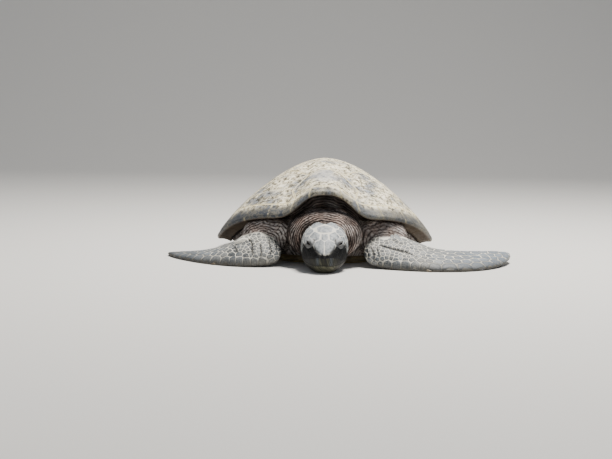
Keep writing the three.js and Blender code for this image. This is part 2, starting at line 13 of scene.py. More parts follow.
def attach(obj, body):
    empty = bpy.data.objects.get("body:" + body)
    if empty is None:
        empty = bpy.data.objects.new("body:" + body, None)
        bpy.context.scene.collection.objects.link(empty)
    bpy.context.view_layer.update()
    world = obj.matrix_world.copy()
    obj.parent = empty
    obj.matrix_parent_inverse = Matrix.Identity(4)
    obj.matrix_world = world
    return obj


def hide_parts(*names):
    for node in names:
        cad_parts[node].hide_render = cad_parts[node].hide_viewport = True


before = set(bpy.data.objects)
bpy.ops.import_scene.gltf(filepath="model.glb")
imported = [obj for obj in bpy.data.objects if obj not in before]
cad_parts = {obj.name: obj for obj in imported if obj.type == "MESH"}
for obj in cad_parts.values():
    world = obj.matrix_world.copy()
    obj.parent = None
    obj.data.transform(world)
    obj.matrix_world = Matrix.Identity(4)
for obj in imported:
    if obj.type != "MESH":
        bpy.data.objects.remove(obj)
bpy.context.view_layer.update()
MM = 0.001

# ------------------------------------------------------------------ camera
# It stands in front of the animal, a little above it, and is turned slightly clockwise. The length of
# the lens and the width of the film are in millimetres.
LENS, FILM = 75.588, 36
stand, target, roll = Vector((0, -4.15, 0.50)), Vector((-0.061, 0, 0.066)), np.radians(0.8)
ahead = (target - stand).normalized()
level = ahead.cross(Vector((0, 0, 1))).normalized()
right = level * np.cos(roll) + level.cross(ahead) * np.sin(roll)
above = right.cross(ahead)
camera = bpy.data.objects.new("camera", bpy.data.cameras.new("camera"))
camera.data.sensor_width = FILM
camera.data.lens = LENS
camera.matrix_world = Matrix((
    (right.x, above.x, -ahead.x, stand.x),
    (right.y, above.y, -ahead.y, stand.y),
    (right.z, above.z, -ahead.z, stand.z),
    (0, 0, 0, 1),
))
bpy.context.scene.collection.objects.link(camera)
bpy.context.scene.camera = camera


# ------------------------------------------------------------------ floor, backdrop and light
# A plain pale sheet that curves up behind, lit by one large soft lamp above and behind the animal's
# right, and by a weak one in front.
def srgb(code):
    """A colour from its sRGB hex code, as linear red, green, blue and 1."""
    parts = np.array([int(code[i:i + 2], 16) for i in (1, 3, 5)]) / 255
    linear = np.where(parts <= 0.04045, parts / 12.92, ((parts + 0.055) / 1.055) ** 2.4)
    return (*linear.tolist(), 1.0)


def add(tree, kind, links=None, stops=(), **settings):
    """Adds one node: links gives its sockets a value or another node's output, stops a ramp's colours."""
    made = tree.nodes.new(kind)
    for name, value in settings.items():
        setattr(made, name, value)
    for socket, value in (links or {}).items():
        if isinstance(value, bpy.types.NodeSocket):
            tree.links.new(value, made.inputs[socket])
        else:
            made.inputs[socket].default_value = value
    for k, (place, colour) in enumerate(stops):
        ramp = made.color_ramp.elements
        stop = ramp[k] if k < len(ramp) else ramp.new(place)
        stop.position, stop.color = place, srgb(colour)
    return made


def material(name):
    """A new material with an empty tree."""
    made = bpy.data.materials.new(name)
    made.use_nodes = True
    made.node_tree.nodes.clear()
    return made, made.node_tree


def piece(name, points, faces, finish):
    """A mesh object from an array of points and arrays of three- or four-cornered faces."""
    mesh = bpy.data.meshes.new(name)
    mesh.vertices.add(len(points))
    mesh.vertices.foreach_set("co", np.ascontiguousarray(points, np.float32).ravel())
    corners = np.concatenate([f.ravel() for f in faces])
    sizes = np.concatenate([np.full(len(f), f.shape[1]) for f in faces])
    mesh.loops.add(len(corners))
    mesh.loops.foreach_set("vertex_index", corners.astype(np.int32))
    mesh.polygons.add(len(sizes))
    mesh.polygons.foreach_set("loop_start", (np.cumsum(sizes) - sizes).astype(np.int32))
    mesh.polygons.foreach_set("use_smooth", np.ones(len(sizes), bool))
    mesh.update(calc_edges=True)
    mesh.validate()
    made = bpy.data.objects.new(name, mesh)
    bpy.context.scene.collection.objects.link(made)
    mesh.materials.append(finish)
    return made


def grid_faces(rows, columns, first=0, closed=False):
    """The quads of a grid of points in row order; closed joins the last column to the first."""
    i, j = np.meshgrid(np.arange(rows - 1), np.arange(columns if closed else columns - 1), indexing="ij")
    a, b = i * columns + j, i * columns + (j + 1) % columns
    return first + np.stack([a, b, b + columns, a + columns], -1).reshape(-1, 4)


def end_fans(rows, columns):
    """Triangles that close both ends of a closed grid, round two points that follow the grid's own."""
    k, last = np.arange(columns), (rows - 1) * columns
    return np.concatenate([
        np.stack([np.full(columns, rows * columns), (k + 1) % columns, k], -1),
        np.stack([np.full(columns, rows * columns + 1), last + k, last + (k + 1) % columns], -1)])


paper, tree = material("matt_backdrop_paper")
shade = add(tree, "ShaderNodeBsdfPrincipled", {"Base Color": srgb("#dddcd9"), "Roughness": 0.9})
add(tree, "ShaderNodeOutputMaterial", {"Surface": shade.outputs[0]})
HALF_WIDTH, NEAR, BEND, RADIUS, WALL, BELOW = 9.0, -7.0, 4.0, 2.5, 5.0, 0.4 * MM
turns = np.linspace(0, np.pi / 2, 16)
sheet_y = np.concatenate([[NEAR], BEND + RADIUS * np.sin(turns), [BEND + RADIUS]])
sheet_z = np.concatenate([[0], RADIUS * (1 - np.cos(turns)), [WALL]]) - BELOW
sides = [np.stack([np.full_like(sheet_y, x), sheet_y, sheet_z], -1) for x in (HALF_WIDTH, -HALF_WIDTH)]
sheet = np.stack(sides, 1)
floor = piece("floor", sheet.reshape(-1, 3), [grid_faces(len(sheet_y), 2)], paper)

for name, place, size, power, tint in [
    ("lamp_above", (0.75, -0.15, 3.4), 0.9, 292, "#fffaf2"),
    ("lamp_front", (1.4, -3.2, 1.9), 2.6, 8, "#eef3ff"),
]:
    lamp = bpy.data.objects.new(name, bpy.data.lights.new(name, "AREA"))
    lamp.data.size, lamp.data.energy, lamp.data.color = size, power, srgb(tint)[:3]
    lamp.location = place
    lamp.rotation_euler = (Vector((0, -0.1, 0.1)) - lamp.location).to_track_quat("-Z", "Y").to_euler()
    bpy.context.scene.collection.objects.link(lamp)
world = bpy.data.worlds.new("studio")
world.use_nodes = True
world.node_tree.nodes["Background"].inputs[0].default_value = srgb("#dfe3ea")
world.node_tree.nodes["Background"].inputs[1].default_value = 0.36
bpy.context.scene.world = world


# ------------------------------------------------------------------ horn of the shell
# Sun-bleached keratin: cream and tan over blue-grey, worn and mottled, with yellowish seams. It is
# smooth to the touch but dull, with fine growth lines and shallow pits. Painted shade darkens the
# forward lip of the rim blue-grey and the rim's underside dark brown.
shell_horn, tree = material("bleached_keratin")
place = add(tree, "ShaderNodeTexCoord").outputs["Object"]
ray = add(tree, "ShaderNodeAttribute", attribute_name="ray").outputs["Vector"]
seam, under, lip, slate = (add(tree, "ShaderNodeAttribute", attribute_name=name).outputs["Fac"]
                           for name in ("seam", "under", "lip", "slate"))
blotch, mottle, speck, streak = (
    add(tree, "ShaderNodeTexNoise",
        {"Vector": at, "Scale": scale, "Detail": detail, "Roughness": rough}).outputs["Fac"]
    for at, scale, detail, rough in [(place, 1 / (55 * MM), 5, 0.62), (place, 1 / (13 * MM), 6, 0.75),
                                     (place, 1 / (5 * MM), 3, 0.6), (ray, 5.0, 4, 0.6)])
parts = add(tree, "ShaderNodeSeparateXYZ", {0: place})
crown = add(tree, "ShaderNodeMapRange", {0: parts.outputs[2], 1: 200 * MM, 2: 290 * MM, 3: 0.0, 4: 0.045})
bleach = add(tree, "ShaderNodeMath", {0: blotch, 1: crown.outputs[0]}, operation="ADD")
base = add(tree, "ShaderNodeValToRGB", {"Fac": bleach.outputs[0]},
           stops=[(0.39, "#969ba3"), (0.58, "#fff8e2"), (0.45, "#c6c4bb"), (0.51, "#f1ead4")])
tan = add(tree, "ShaderNodeValToRGB", {"Fac": mottle},
          stops=[(0.41, "#4d4b48"), (0.54, "#ffffff"), (0.45, "#9c988b"), (0.495, "#f2ecdd")])
worn = add(tree, "ShaderNodeMix", {0: 1.0, 6: base.outputs[0], 7: tan.outputs[0]}, data_type="RGBA",
           blend_type="MULTIPLY")
rays = add(tree, "ShaderNodeMapRange", {0: streak, 1: 0.45, 2: 0.62, 3: 0.0, 4: 0.35})
dots = add(tree, "ShaderNodeMapRange", {0: speck, 1: 0.54, 2: 0.62, 3: 0.0, 4: 0.75})
grimy = add(tree, "ShaderNodeMapRange", {0: blotch, 1: 0.56, 2: 0.44, 3: 0.3, 4: 1.0})
dirt = add(tree, "ShaderNodeMath", {0: dots.outputs[0], 1: grimy.outputs[0]}, operation="MULTIPLY")
wobble = add(tree, "ShaderNodeMath", {0: mottle, 1: 5 * MM}, operation="MULTIPLY")
near = add(tree, "ShaderNodeMath", {0: seam, 1: wobble.outputs[0]}, operation="ADD")
edge = add(tree, "ShaderNodeMapRange", {0: near.outputs[0], 1: 3.2 * MM, 2: 6.5 * MM, 3: 0.85, 4: 0.0})
# Painted shade: a blue-grey band down the forward face of the rim's lip, ragged at its edge.
ragged = add(tree, "ShaderNodeMapRange", {0: mottle, 1: 0.4, 2: 0.53, 3: 0.55, 4: 1.0})
shaded = add(tree, "ShaderNodeMath", {0: lip, 1: ragged.outputs[0]}, operation="MULTIPLY")
# Painted shade under the rim: the marginals' underside is painted dark brown.
below = add(tree, "ShaderNodeMix", {0: blotch, 6: srgb("#2a231e"), 7: srgb("#5d4e3b")}, data_type="RGBA")
coat = worn.outputs[2]
# Layers: streaks, speckles, slate patches and pale seams are the horn's own; the lip band is painted shade on
# the rim's lip, and the underside colour is painted shade under the rim.
for share, colour in [(rays.outputs[0], srgb("#7c7768")), (dirt.outputs[0], srgb("#4f4c47")),
                      (slate, srgb("#9499a3")), (edge.outputs[0], srgb("#ece0b8")),
                      (shaded.outputs[0], srgb("#343941")), (under, below.outputs[2])]:
    coat = add(tree, "ShaderNodeMix", {0: share, 6: coat, 7: colour}, data_type="RGBA").outputs[2]
grain = add(tree, "ShaderNodeMix", {0: 0.45, 2: mottle, 3: speck})
relief = add(tree, "ShaderNodeBump", {"Height": grain.outputs[0], "Distance": 1.2 * MM, "Strength": 0.8})
dull = add(tree, "ShaderNodeMapRange", {0: mottle, 1: 0.3, 2: 0.7, 3: 0.48, 4: 0.72})
shade = add(tree, "ShaderNodeBsdfPrincipled", {
    "Base Color": coat, "Roughness": dull.outputs[0], "Normal": relief.outputs[0], "IOR": 1.55,
    "Specular IOR Level": 0.35,
})
add(tree, "ShaderNodeOutputMaterial", {"Surface": shade.outputs[0]})


# ------------------------------------------------------------------ inner scutes of the shell
# Five vertebral scutes down the back and four costal ones on each side: thin horn plates, fixed edge
# to edge on the bone below, each with rolled edges and growth lines along them.
TOP, CENTRE_Y = 302 * MM, -60 * MM


def rim_radius(turn):
    """Plan distance of the rim at an angle (0 in front, 180 behind): a superellipse, blunter in front."""
    a = np.radians(np.abs(turn))
    power = 2.3 - 0.5 * (1 - np.cos(a)) / 2
    length = np.where(np.cos(a) > 0, 370 * MM, 510 * MM)
    return ((np.sin(a) / (342 * MM)) ** power + (np.abs(np.cos(a)) / length) ** power) ** (-1 / power)


def rim_height(turn):
    """Height of the rim: low along the flanks, a raised cosine over the shoulders, arched over the neck."""
    a = np.abs(turn)
    fall = 0.5 + 0.5 * np.cos(np.pi * np.clip((a - 22) / 72, 0, 1))
    return MM * (51 + 100 * fall + 72 * np.exp(-(a / 14) ** 3) + 20 * np.exp(-((a - 142) / 24) ** 2))


def dome(turn, share, depth=0.0):
    """A point of the shell: share of the way out to the rim, falling by 0.94 s^1.72 + 0.06 s^9."""
    a, reach, rim = np.radians(turn), share * rim_radius(turn), rim_height(turn)
    z = rim + (TOP - rim) * (1 - 0.94 * share ** 1.72 - 0.06 * share ** 9)
    return np.stack(np.broadcast_arrays(np.sin(a) * reach, CENTRE_Y - np.cos(a) * reach, z - depth), -1)


def ring_share(turn):
    """Where the marginal scutes meet the inner ones."""
    return 0.865 + 0.045 * np.exp(-(turn / 62) ** 2)


def dome_over(plan, raised=0.0):
    """The shell's surface over x, y, moved out along its normal (from differences 1 mm to each side)."""
    def over(x, y):
        turn = np.degrees(np.arctan2(x, CENTRE_Y - y))
        return dome(turn, np.hypot(x, y - CENTRE_Y) / rim_radius(turn))
    x, y = plan[..., 0], plan[..., 1]
    normal = np.cross(over(x + MM, y) - over(x - MM, y), over(x, y + MM) - over(x, y - MM))
    normal /= np.linalg.norm(normal, axis=-1, keepdims=True)
    return over(x, y) + normal * np.asarray(raised)[..., None]


def cloud(points, size, seed=0):
    """Smooth noise from 0 to 1: random values at the corners of cubes of that size, blended between."""
    q = points / size + seed * 17.31
    cell = np.floor(q).astype(np.int64)
    t = q - cell
    t = t * t * (3 - 2 * t)
    total = 0
    for corner in np.ndindex(2, 2, 2):
        at = cell + corner
        mixed = (at[..., 0] * 73856093) ^ (at[..., 1] * 19349663) ^ (at[..., 2] * 83492791) ^ (seed * 2654435)
        mixed = (mixed ^ (mixed >> 13)) * 1274126177
        value = ((mixed ^ (mixed >> 16)) & 0xFFFF) / 0xFFFF
        weight = np.prod(np.where(corner, t, 1 - t), axis=-1)
        total = total + value * weight
    return total


def smooth(low, high, value):
    """0 at low, 1 at high and beyond, and a smooth rise between: t t (3 - 2 t)."""
    t = np.clip((value - low) / (high - low), 0, 1)
    return t * t * (3 - 2 * t)


def along(line, share):
    """A point on a broken line of (share, (x, y)) corners."""
    at = [row[0] for row in line]
    return np.stack([np.interp(share, at, [row[1][k] for row in line]) for k in (0, 1)], -1)


def attribute(made, name, values):
    """Gives a mesh one number, or a vector, for each of its points."""
    kind = "FLOAT" if values.ndim == 1 else "FLOAT_VECTOR"
    stored = made.data.attributes.new(name, kind, "POINT")
    stored.data.foreach_set("value" if kind == "FLOAT" else "vector", values.astype(np.float32).ravel())


def shares(breaks, length, step=4.5 * MM):
    """Places from 0 to 1 along an edge: every corner, even steps between, and close steps at both ends."""
    fine = np.array([0, 0.4, 0.9, 1.5, 2.3, 3.3, 4.6]) * MM / length
    inner = np.concatenate([np.linspace(a, b, max(2, int((b - a) * length / step) + 1))
                            for a, b in zip(breaks, breaks[1:])])
    inner = inner[(inner > fine[-1] * 1.3) & (inner < 1 - fine[-1] * 1.3)]
    return np.unique(np.round(np.concatenate([fine, inner, 1 - fine]), 6))


def scute(name, plan_of, breaks, length, width, middle, right_side=False):
    """A plate over plan_of(across, back): edges roll down a quarter round, growth lines run beside them."""
    v, u = shares(breaks, length), shares([0, 1], width)
    back, across = np.meshgrid(v, u, indexing="ij")
    plan = plan_of(across, back)
    row_width = np.linalg.norm(plan[:, -1] - plan[:, 0], axis=-1)[:, None]
    column_length = np.sum(np.linalg.norm(np.diff(plan, axis=0), axis=-1), axis=0)[None]
    gap = 0.25 * MM
    side = np.minimum(across, 1 - across) * row_width
    end = np.minimum(back, 1 - back) * column_length
    inset = np.clip(gap / np.maximum(row_width, 1e-6), 0, 0.45)
    end_inset = gap / column_length
    plan = plan_of(inset + across * (1 - 2 * inset), end_inset + back * (1 - 2 * end_inset))
    seam = np.minimum(side, end)
    roll = 1 - np.clip(seam / (2.4 * MM), 0, 1)
    height = -1.1 * MM * (1 - np.sqrt(1 - np.minimum(roll, 0.999) ** 2))
    flat = np.concatenate([plan, np.zeros_like(plan[..., :1])], -1)
    wander = cloud(flat, 30 * MM, 3)
    ring = np.sin(2 * np.pi * (seam / (7.5 * MM) + 0.9 * wander))
    height = height + 0.22 * MM * ring * np.clip(seam / (4 * MM), 0, 1) * np.exp(-seam / (34 * MM))
    height = height + 0.9 * MM * (cloud(flat, 22 * MM, 5) - 0.5) + 0.5 * MM * (cloud(flat, 8 * MM, 6) - 0.5)
    upper, lower = dome_over(plan, height), dome_over(plan, np.full(plan.shape[:2], -4.5 * MM))
    rows, columns = seam.shape
    top, bottom = grid_faces(rows, columns), grid_faces(rows, columns, rows * columns)[:, ::-1]
    loop = np.concatenate([
        np.arange(columns - 1), np.arange(rows - 1) * columns + columns - 1,
        (rows - 1) * columns + np.arange(columns - 1, 0, -1), np.arange(rows - 1, 0, -1) * columns,
    ])
    after = np.roll(loop, -1)
    wall = np.stack([after, loop, loop + rows * columns, after + rows * columns], -1)
    faces = np.concatenate([top, bottom, wall])
    made = piece(name + "_horn", np.concatenate([upper, lower]).reshape(-1, 3),
                 [faces[:, ::-1] if right_side else faces], shell_horn)
    offset = plan - plan_of(np.array(middle[0]), np.array(middle[1]))
    far = np.linalg.norm(offset, axis=-1, keepdims=True) + 1e-5
    rays = np.concatenate([offset / far, far / (150 * MM) + 0.1 * len(name)], -1)
    attribute(made, "seam", np.concatenate([seam.ravel(), np.zeros(seam.size)]))
    attribute(made, "ray", np.concatenate([rays.reshape(-1, 3)] * 2))
    attribute(made, "under", np.zeros(2 * seam.size))
    attribute(made, "lip", np.zeros(2 * seam.size))
    from_patch = np.linalg.norm(upper - dome(0.0, 0.66), axis=-1) / MM
    bloom = smooth(70, 25, from_patch + 60 * (cloud(upper, 26 * MM, 9) - 0.5)) * 0.62
    attribute(made, "slate", np.concatenate([bloom.ravel(), np.zeros(seam.size)]))
    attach(made, "root")
    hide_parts(name)


def on_ring(turn):
    """Plan point where a seam between costal scutes meets the marginal ones."""
    return dome(turn, ring_share(turn))[..., :2]


C1_FRONT, C1_BACK, C2_BACK, C3_BACK, C4_BACK = 15, 70, 108, 141, 165
V1_SIDE, V12, V2_SIDE, V23, V3_SIDE, V34, V4_SIDE, V45 = np.array([
    (98, -322), (50, -255), (112, -165), (58, -78), (115, 12), (52, 98), (98, 182), (36, 262)]) * MM
front_corner, rear_corner = tuple(on_ring(C1_FRONT)), tuple(on_ring(C4_BACK))
vertebral_edges = [
    [(0, front_corner), (0.4, V1_SIDE), (1, V12)],
    [(0, V12), (0.5, V2_SIDE), (1, V23)],
    [(0, V23), (0.5, V3_SIDE), (1, V34)],
    [(0, V34), (0.5, V4_SIDE), (1, V45)],
    [(0, V45), (1, rear_corner)],
]
for i, line in enumerate(vertebral_edges):
    def vertebral_plan(across, back, line=line, i=i):
        """Rows straight across, bowed where the plate meets the marginal ring in front or behind."""
        edge = along(line, back)
        bow = (1 - back) * (front_corner[1] - on_ring(0.0)[1]) if i == 0 else 0.0
        bow = back * (rear_corner[1] - on_ring(180.0)[1]) if i == 4 else bow
        share = 2 * across - 1
        return np.stack([edge[..., 0] * share, edge[..., 1] - bow * (1 - share ** 2)], -1)
    scute(f"vertebral_scute_{i + 1}", vertebral_plan, [row[0] for row in line], 165 * MM, 190 * MM,
          (0.5, 0.7))

costals = [
    ([(0, front_corner), (0.25, V1_SIDE), (0.6, V12), (1, V2_SIDE)], (C1_FRONT, C1_BACK)),
    ([(0, V2_SIDE), (0.5, V23), (1, V3_SIDE)], (C1_BACK, C2_BACK)),
    ([(0, V3_SIDE), (0.5, V34), (1, V4_SIDE)], (C2_BACK, C3_BACK)),
    ([(0, V4_SIDE), (0.45, V45), (1, rear_corner)], (C3_BACK, C4_BACK)),
]
for side, sign in [("left", 1), ("right", -1)]:
    for i, (medial, (start, stop)) in enumerate(costals):
        def costal_plan(across, back, medial=medial, start=start, stop=stop, sign=sign):
            """Between the line of the vertebral scutes and the arc of the marginal ring."""
            inner, outer = along(medial, back), on_ring(start + (stop - start) * back)
            mixed = inner + (outer - inner) * np.asarray(across)[..., None]
            return mixed * (sign, 1)
        scute(f"costal_scute_{side}_{i + 1}", costal_plan, [row[0] for row in medial], 190 * MM, 170 * MM,
              (0.4, 0.75), right_side=sign < 0)


# ------------------------------------------------------------------ marginal scutes
# The ring of plates round the rim: a nuchal one over the neck, eleven on each side and the pair over
# the tail. Each is a bent wedge of horn that wraps over the rim, paler above, with painted shade in
# blue-grey down its forward lip and in dark brown on its underside.
def wedge(turn, sink=0.0):
    """Section of the rim at an angle, a closed loop: dome outwards, round lip, underside, inner wall."""
    inside = ring_share(turn) + 0.003
    rim, radius = rim_height(turn), rim_radius(turn)
    depth = MM * (25 + 55 * np.sin(np.radians(np.abs(turn))) ** 1.5)
    knots = []
    for t in np.linspace(0, 1, 9):
        point = dome(turn, inside + (0.972 - inside) * t)
        knots.append((np.hypot(point[..., 0], point[..., 1] - CENTRE_Y), point[..., 2]))
    for share, drop in [(0.986, -3.6), (0.995, -0.4), (0.9995, 3.2), (0.999, 7.2), (0.993, 10.6),
                        (0.983, 12.4)]:
        knots.append((share * radius, rim - drop * MM))
    bottom = dome(turn, inside, depth)
    low = np.hypot(bottom[..., 0], bottom[..., 1] - CENTRE_Y), bottom[..., 2]
    lip = knots[-1]
    for t in np.linspace(0.16, 1, 7):
        hollow = 3 * MM * np.sin(np.pi * t)
        knots.append((lip[0] + (low[0] - lip[0]) * t, lip[1] + (low[1] - lip[1]) * t + hollow))
    top = knots[0]
    knots.append((low[0] + (top[0] - low[0]) * 0.5, low[1] + (top[1] - low[1]) * 0.5))
    out, z = (np.stack(part, -1) for part in zip(*knots))
    ahead = np.roll(np.stack([out, z]), -1, -1) - np.roll(np.stack([out, z]), 1, -1)
    normal = np.stack([-ahead[1], ahead[0]]) / np.linalg.norm(ahead, axis=0)
    sink = np.asarray(sink)
    out, z = out - normal[0] * sink[..., None], z - normal[1] * sink[..., None]
    a = np.radians(np.asarray(turn, float))[..., None]
    return np.stack([np.sin(a) * out, CENTRE_Y - np.cos(a) * out, z], -1)


def marginal(name, start, stop):
    """A length of the rim, its section drawn in by a quarter round at both ends, closed by flat ends."""
    length = np.radians(stop - start) * rim_radius((start + stop) / 2)
    v = shares([0, 1], length)
    seam = np.minimum(v, 1 - v) * length
    roll = 1 - np.clip(seam / (2.6 * MM), 0, 1)
    gap = 0.25 * MM / length
    turn = start + (stop - start) * (gap + v * (1 - 2 * gap))
    points = wedge(turn, 1.4 * MM * (1 - np.sqrt(1 - np.minimum(roll, 0.999) ** 2)))
    rows, columns = points.shape[:2]
    centre = points.mean(1, keepdims=True)
    outward = points - centre
    outward /= np.linalg.norm(outward, axis=-1, keepdims=True)
    wear = 1.1 * MM * (cloud(points, 24 * MM, 7) - 0.5) + 0.5 * MM * (cloud(points, 8 * MM, 8) - 0.5)
    points = points + outward * (wear * np.clip(seam / (5 * MM), 0, 1)[:, None])[..., None]
    flat = points.reshape(-1, 3)
    ends = np.stack([points[0].mean(0), points[-1].mean(0)])
    made = piece(name + "_horn", np.concatenate([flat, ends]),
                 [grid_faces(rows, columns, closed=True), end_fans(rows, columns)], shell_horn)
    edge = np.repeat(seam[:, None], columns, 1)
    edge[:, 0] = 0
    for j in range(1, 4):
        inward = np.linalg.norm(points[:, j] - points[:, 0], axis=-1)
        edge[:, j] = np.minimum(edge[:, j], inward)
    # Painted shade: the columns of the underside take the dark brown of the rim's shade.
    low = np.interp(np.arange(columns), [12, 14], [0, 1]) + np.zeros((rows, 1))
    attribute(made, "seam", np.append(edge.ravel(), [0, 0]))
    attribute(made, "under", np.append(low.ravel(), [0, 0]))
    # Painted shade down the rim's outer face and lip, a little less over the nuchal and on the animal's left.
    lip = np.interp(np.arange(columns), [1, 3, 5, 7, 9], [0, 0.35, 0.78, 0.95, 1]) + np.zeros((rows, 1))
    lip = lip * ((0.65 + 0.35 * smooth(8, 20, np.abs(turn))) * (1 - 0.12 * smooth(0, 20, turn)))[:, None]
    attribute(made, "lip", np.append(lip.ravel(), [0, 0]))
    attribute(made, "slate", np.zeros(lip.size + 2))
    rays = np.stack([turn[:, None] * 0.12 + 0 * edge, np.arange(columns)[None] * 0.12 + 0 * edge, edge], -1)
    attribute(made, "ray", np.concatenate([rays.reshape(-1, 3), np.zeros((2, 3))]))
    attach(made, "root")
    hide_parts(name)


NUCHAL_HALF = 7.2
LENGTHS = [0.66, 0.74, 0.84, 0.94, 1.02, 1.08, 1.1, 1.1, 1.08, 1.04, 0.98, 0.9]
walk = np.linspace(NUCHAL_HALF, 180, 401)
run = np.concatenate([[0], np.cumsum(np.linalg.norm(np.diff(dome(walk, 1.0), axis=0), axis=-1))])
rim_seams = np.interp(np.concatenate([[0], np.cumsum(LENGTHS)]) / sum(LENGTHS), run / run[-1], walk)
marginal("nuchal_scute", -NUCHAL_HALF, NUCHAL_HALF)
for side, sign in [("left", 1), ("right", -1)]:
    for i in range(len(LENGTHS)):
        start, stop = sorted((sign * rim_seams[i], sign * rim_seams[i + 1]))
        last = i == len(LENGTHS) - 1
        marginal(f"supracaudal_scute_{side}" if last else f"marginal_scute_{side}_{i + 1}", start, stop)


# ------------------------------------------------------------------ skin
# One hide over neck, trunk, head, limbs and tail: leathery, dry, mauve-brown and deeply folded at the
# neck and shoulders, cream where it shows between scales. The folds carry painted shade in their
# grooves and painted highlight on their crests. The lengths are joined as one closed skin.
def curve(rows, at):
    """Rows of (place, values...) read at any places by a smooth (Catmull-Rom) curve through them."""
    rows = np.array(rows, float)
    x = np.clip(np.asarray(at, float), rows[0, 0], rows[-1, 0])
    k = np.clip(np.searchsorted(rows[:, 0], x) - 1, 0, len(rows) - 2)
    before, here, there, after = (rows[np.clip(k + i, 0, len(rows) - 1)] for i in (-1, 0, 1, 2))
    span = there[..., :1] - here[..., :1]
    t = (x[..., None] - here[..., :1]) / span
    leave = (there - before)[..., 1:] / (there - before)[..., :1] * span
    reach = (after - here)[..., 1:] / (after - here)[..., :1] * span
    return ((2 * t ** 3 - 3 * t ** 2 + 1) * here[..., 1:] + (t ** 3 - 2 * t ** 2 + t) * leave
            + (3 * t ** 2 - 2 * t ** 3) * there[..., 1:] + (t ** 3 - t ** 2) * reach)


def unit(vectors):
    """Each vector at length 1."""
    return vectors / np.maximum(np.linalg.norm(vectors, axis=-1, keepdims=True), 1e-12)


def heading(rows, share):
    """Which way a limb's path runs, from its places 0.02 of the way to each side."""
    return (curve(rows, np.minimum(1, share + 0.02)) - curve(rows, np.maximum(0, share - 0.02)))[..., :3]


UP = np.array([0, 0, 1.0])


def round_limb(rows, share, turn):
    """Ellipses square to a path: rows of (share, x, y, z, half width, half height) in mm."""
    x, y, z, wide, high = np.moveaxis(curve(rows, share), -1, 0) * MM
    ahead = unit(heading(rows, share))
    across = unit(np.cross(ahead, UP))
    up = np.cross(across, ahead)
    return (np.stack([x, y, z], -1) + across * (np.cos(turn) * wide)[..., None]
            + up * (np.sin(turn) * high)[..., None])


NECK = [(0, 0, -290, 104, 108, 72), (0.35, 0, -350, 99, 112, 74), (0.65, 0, -400, 93, 112, 78),
        (0.85, 0, -430, 84, 100, 72), (1, 0, -452, 76, 80, 58)]
TAIL = [(0, 0, 290, 66, 52, 36), (0.5, 0, 385, 44, 34, 24), (0.85, 0, 446, 24, 18, 14),
        (1, 0, 470, 16, 6, 5)]


def upper_arm(sign):
    return [(0, sign * 126, -236, 84, 74, 48), (0.35, sign * 156, -290, 87, 82, 54),
            (0.65, sign * 172, -334, 86, 77, 54), (0.88, sign * 178, -364, 74, 62, 43),
            (1, sign * 178, -382, 64, 36, 26)]


def thigh(sign):
    return [(0, sign * 110, 230, 66, 62, 40), (0.4, sign * 150, 300, 50, 64, 29),
            (0.65, sign * 172, 338, 39, 58, 20), (0.85, sign * 186, 366, 35, 46, 18),
            (1, sign * 196, 392, 32, 28, 13)]


FRONT_LEFT = [
    (0, 124, -398, 52, 46, 34, 62), (0.06, 142, -406, 48, 86, 58, 60),
    (0.2, 196, -414, 46, 122, 62, 52), (0.36, 256, -424, 37, 132, 50, 34),
    (0.52, 322, -428, 27, 136, 36, 23), (0.68, 388, -416, 25, 132, 26, 20),
    (0.82, 450, -375, 24, 120, 20, 18), (0.92, 502, -314, 24, 94, 15, 17),
    (0.98, 541, -256, 26, 56, 10, 15), (1, 557, -228, 27, 22, 6, 13),
]
FRONT_RIGHT = [
    (0, -134, -398, 47, 44, 34, 62), (0.06, -150, -404, 48, 86, 58, 58),
    (0.2, -196, -406, 52, 126, 66, 58), (0.36, -250, -391, 44, 132, 54, 44),
    (0.54, -316, -346, 26, 124, 35, 24), (0.72, -380, -288, 15, 106, 23, 13),
    (0.88, -434, -232, 9, 78, 15, 7), (0.96, -464, -203, 7, 48, 11, 5), (1, -478, -190, 6, 20, 7, 4),
]


def hind(sign):
    return [(0, sign * 176, 336, 37, 50, 30, 8), (0.1, sign * 186, 358, 34, 84, 38, 8),
            (0.35, sign * 214, 418, 26, 94, 34, 12), (0.65, sign * 246, 492, 13, 118, 24, 9),
            (0.88, sign * 268, 552, 7, 106, 16, 5), (1, sign * 280, 592, 5, 36, 8, 3)]


def blade_frame(rows, share):
    """A flipper's row at a place along it, and its ways there: ahead, back along the tilt, and up."""
    row = curve(rows, share)
    ahead = unit(heading(rows, share) * (1, 1, 0))
    back = np.stack([-ahead[..., 1], ahead[..., 0], 0 * ahead[..., 0]], -1)
    back = back * np.where(back[..., 1:2] < 0, -1, 1)
    tilt = np.radians(row[..., 5:6])
    back = back * np.cos(tilt) + UP * np.sin(tilt)
    face = np.cross(back, ahead)
    return row, ahead, back, face * np.where(face[..., 2:] < 0, -1, 1)


def blade(rows, share, turn):
    """A flipper from rows of (share, x, y, z, chord, thickness, tilt): an oval, thick at turn 0, its
    leading edge, and thin at pi, its trailing one; the tilt raises the trailing edge."""
    row, _, back, face = blade_frame(rows, share)
    c = -np.cos(turn)
    return MM * (row[..., :3] + back * (c * row[..., 3] / 2)[..., None]
                 + face * (np.sin(turn) * row[..., 4] / 2 * (0.72 - 0.28 * c))[..., None])


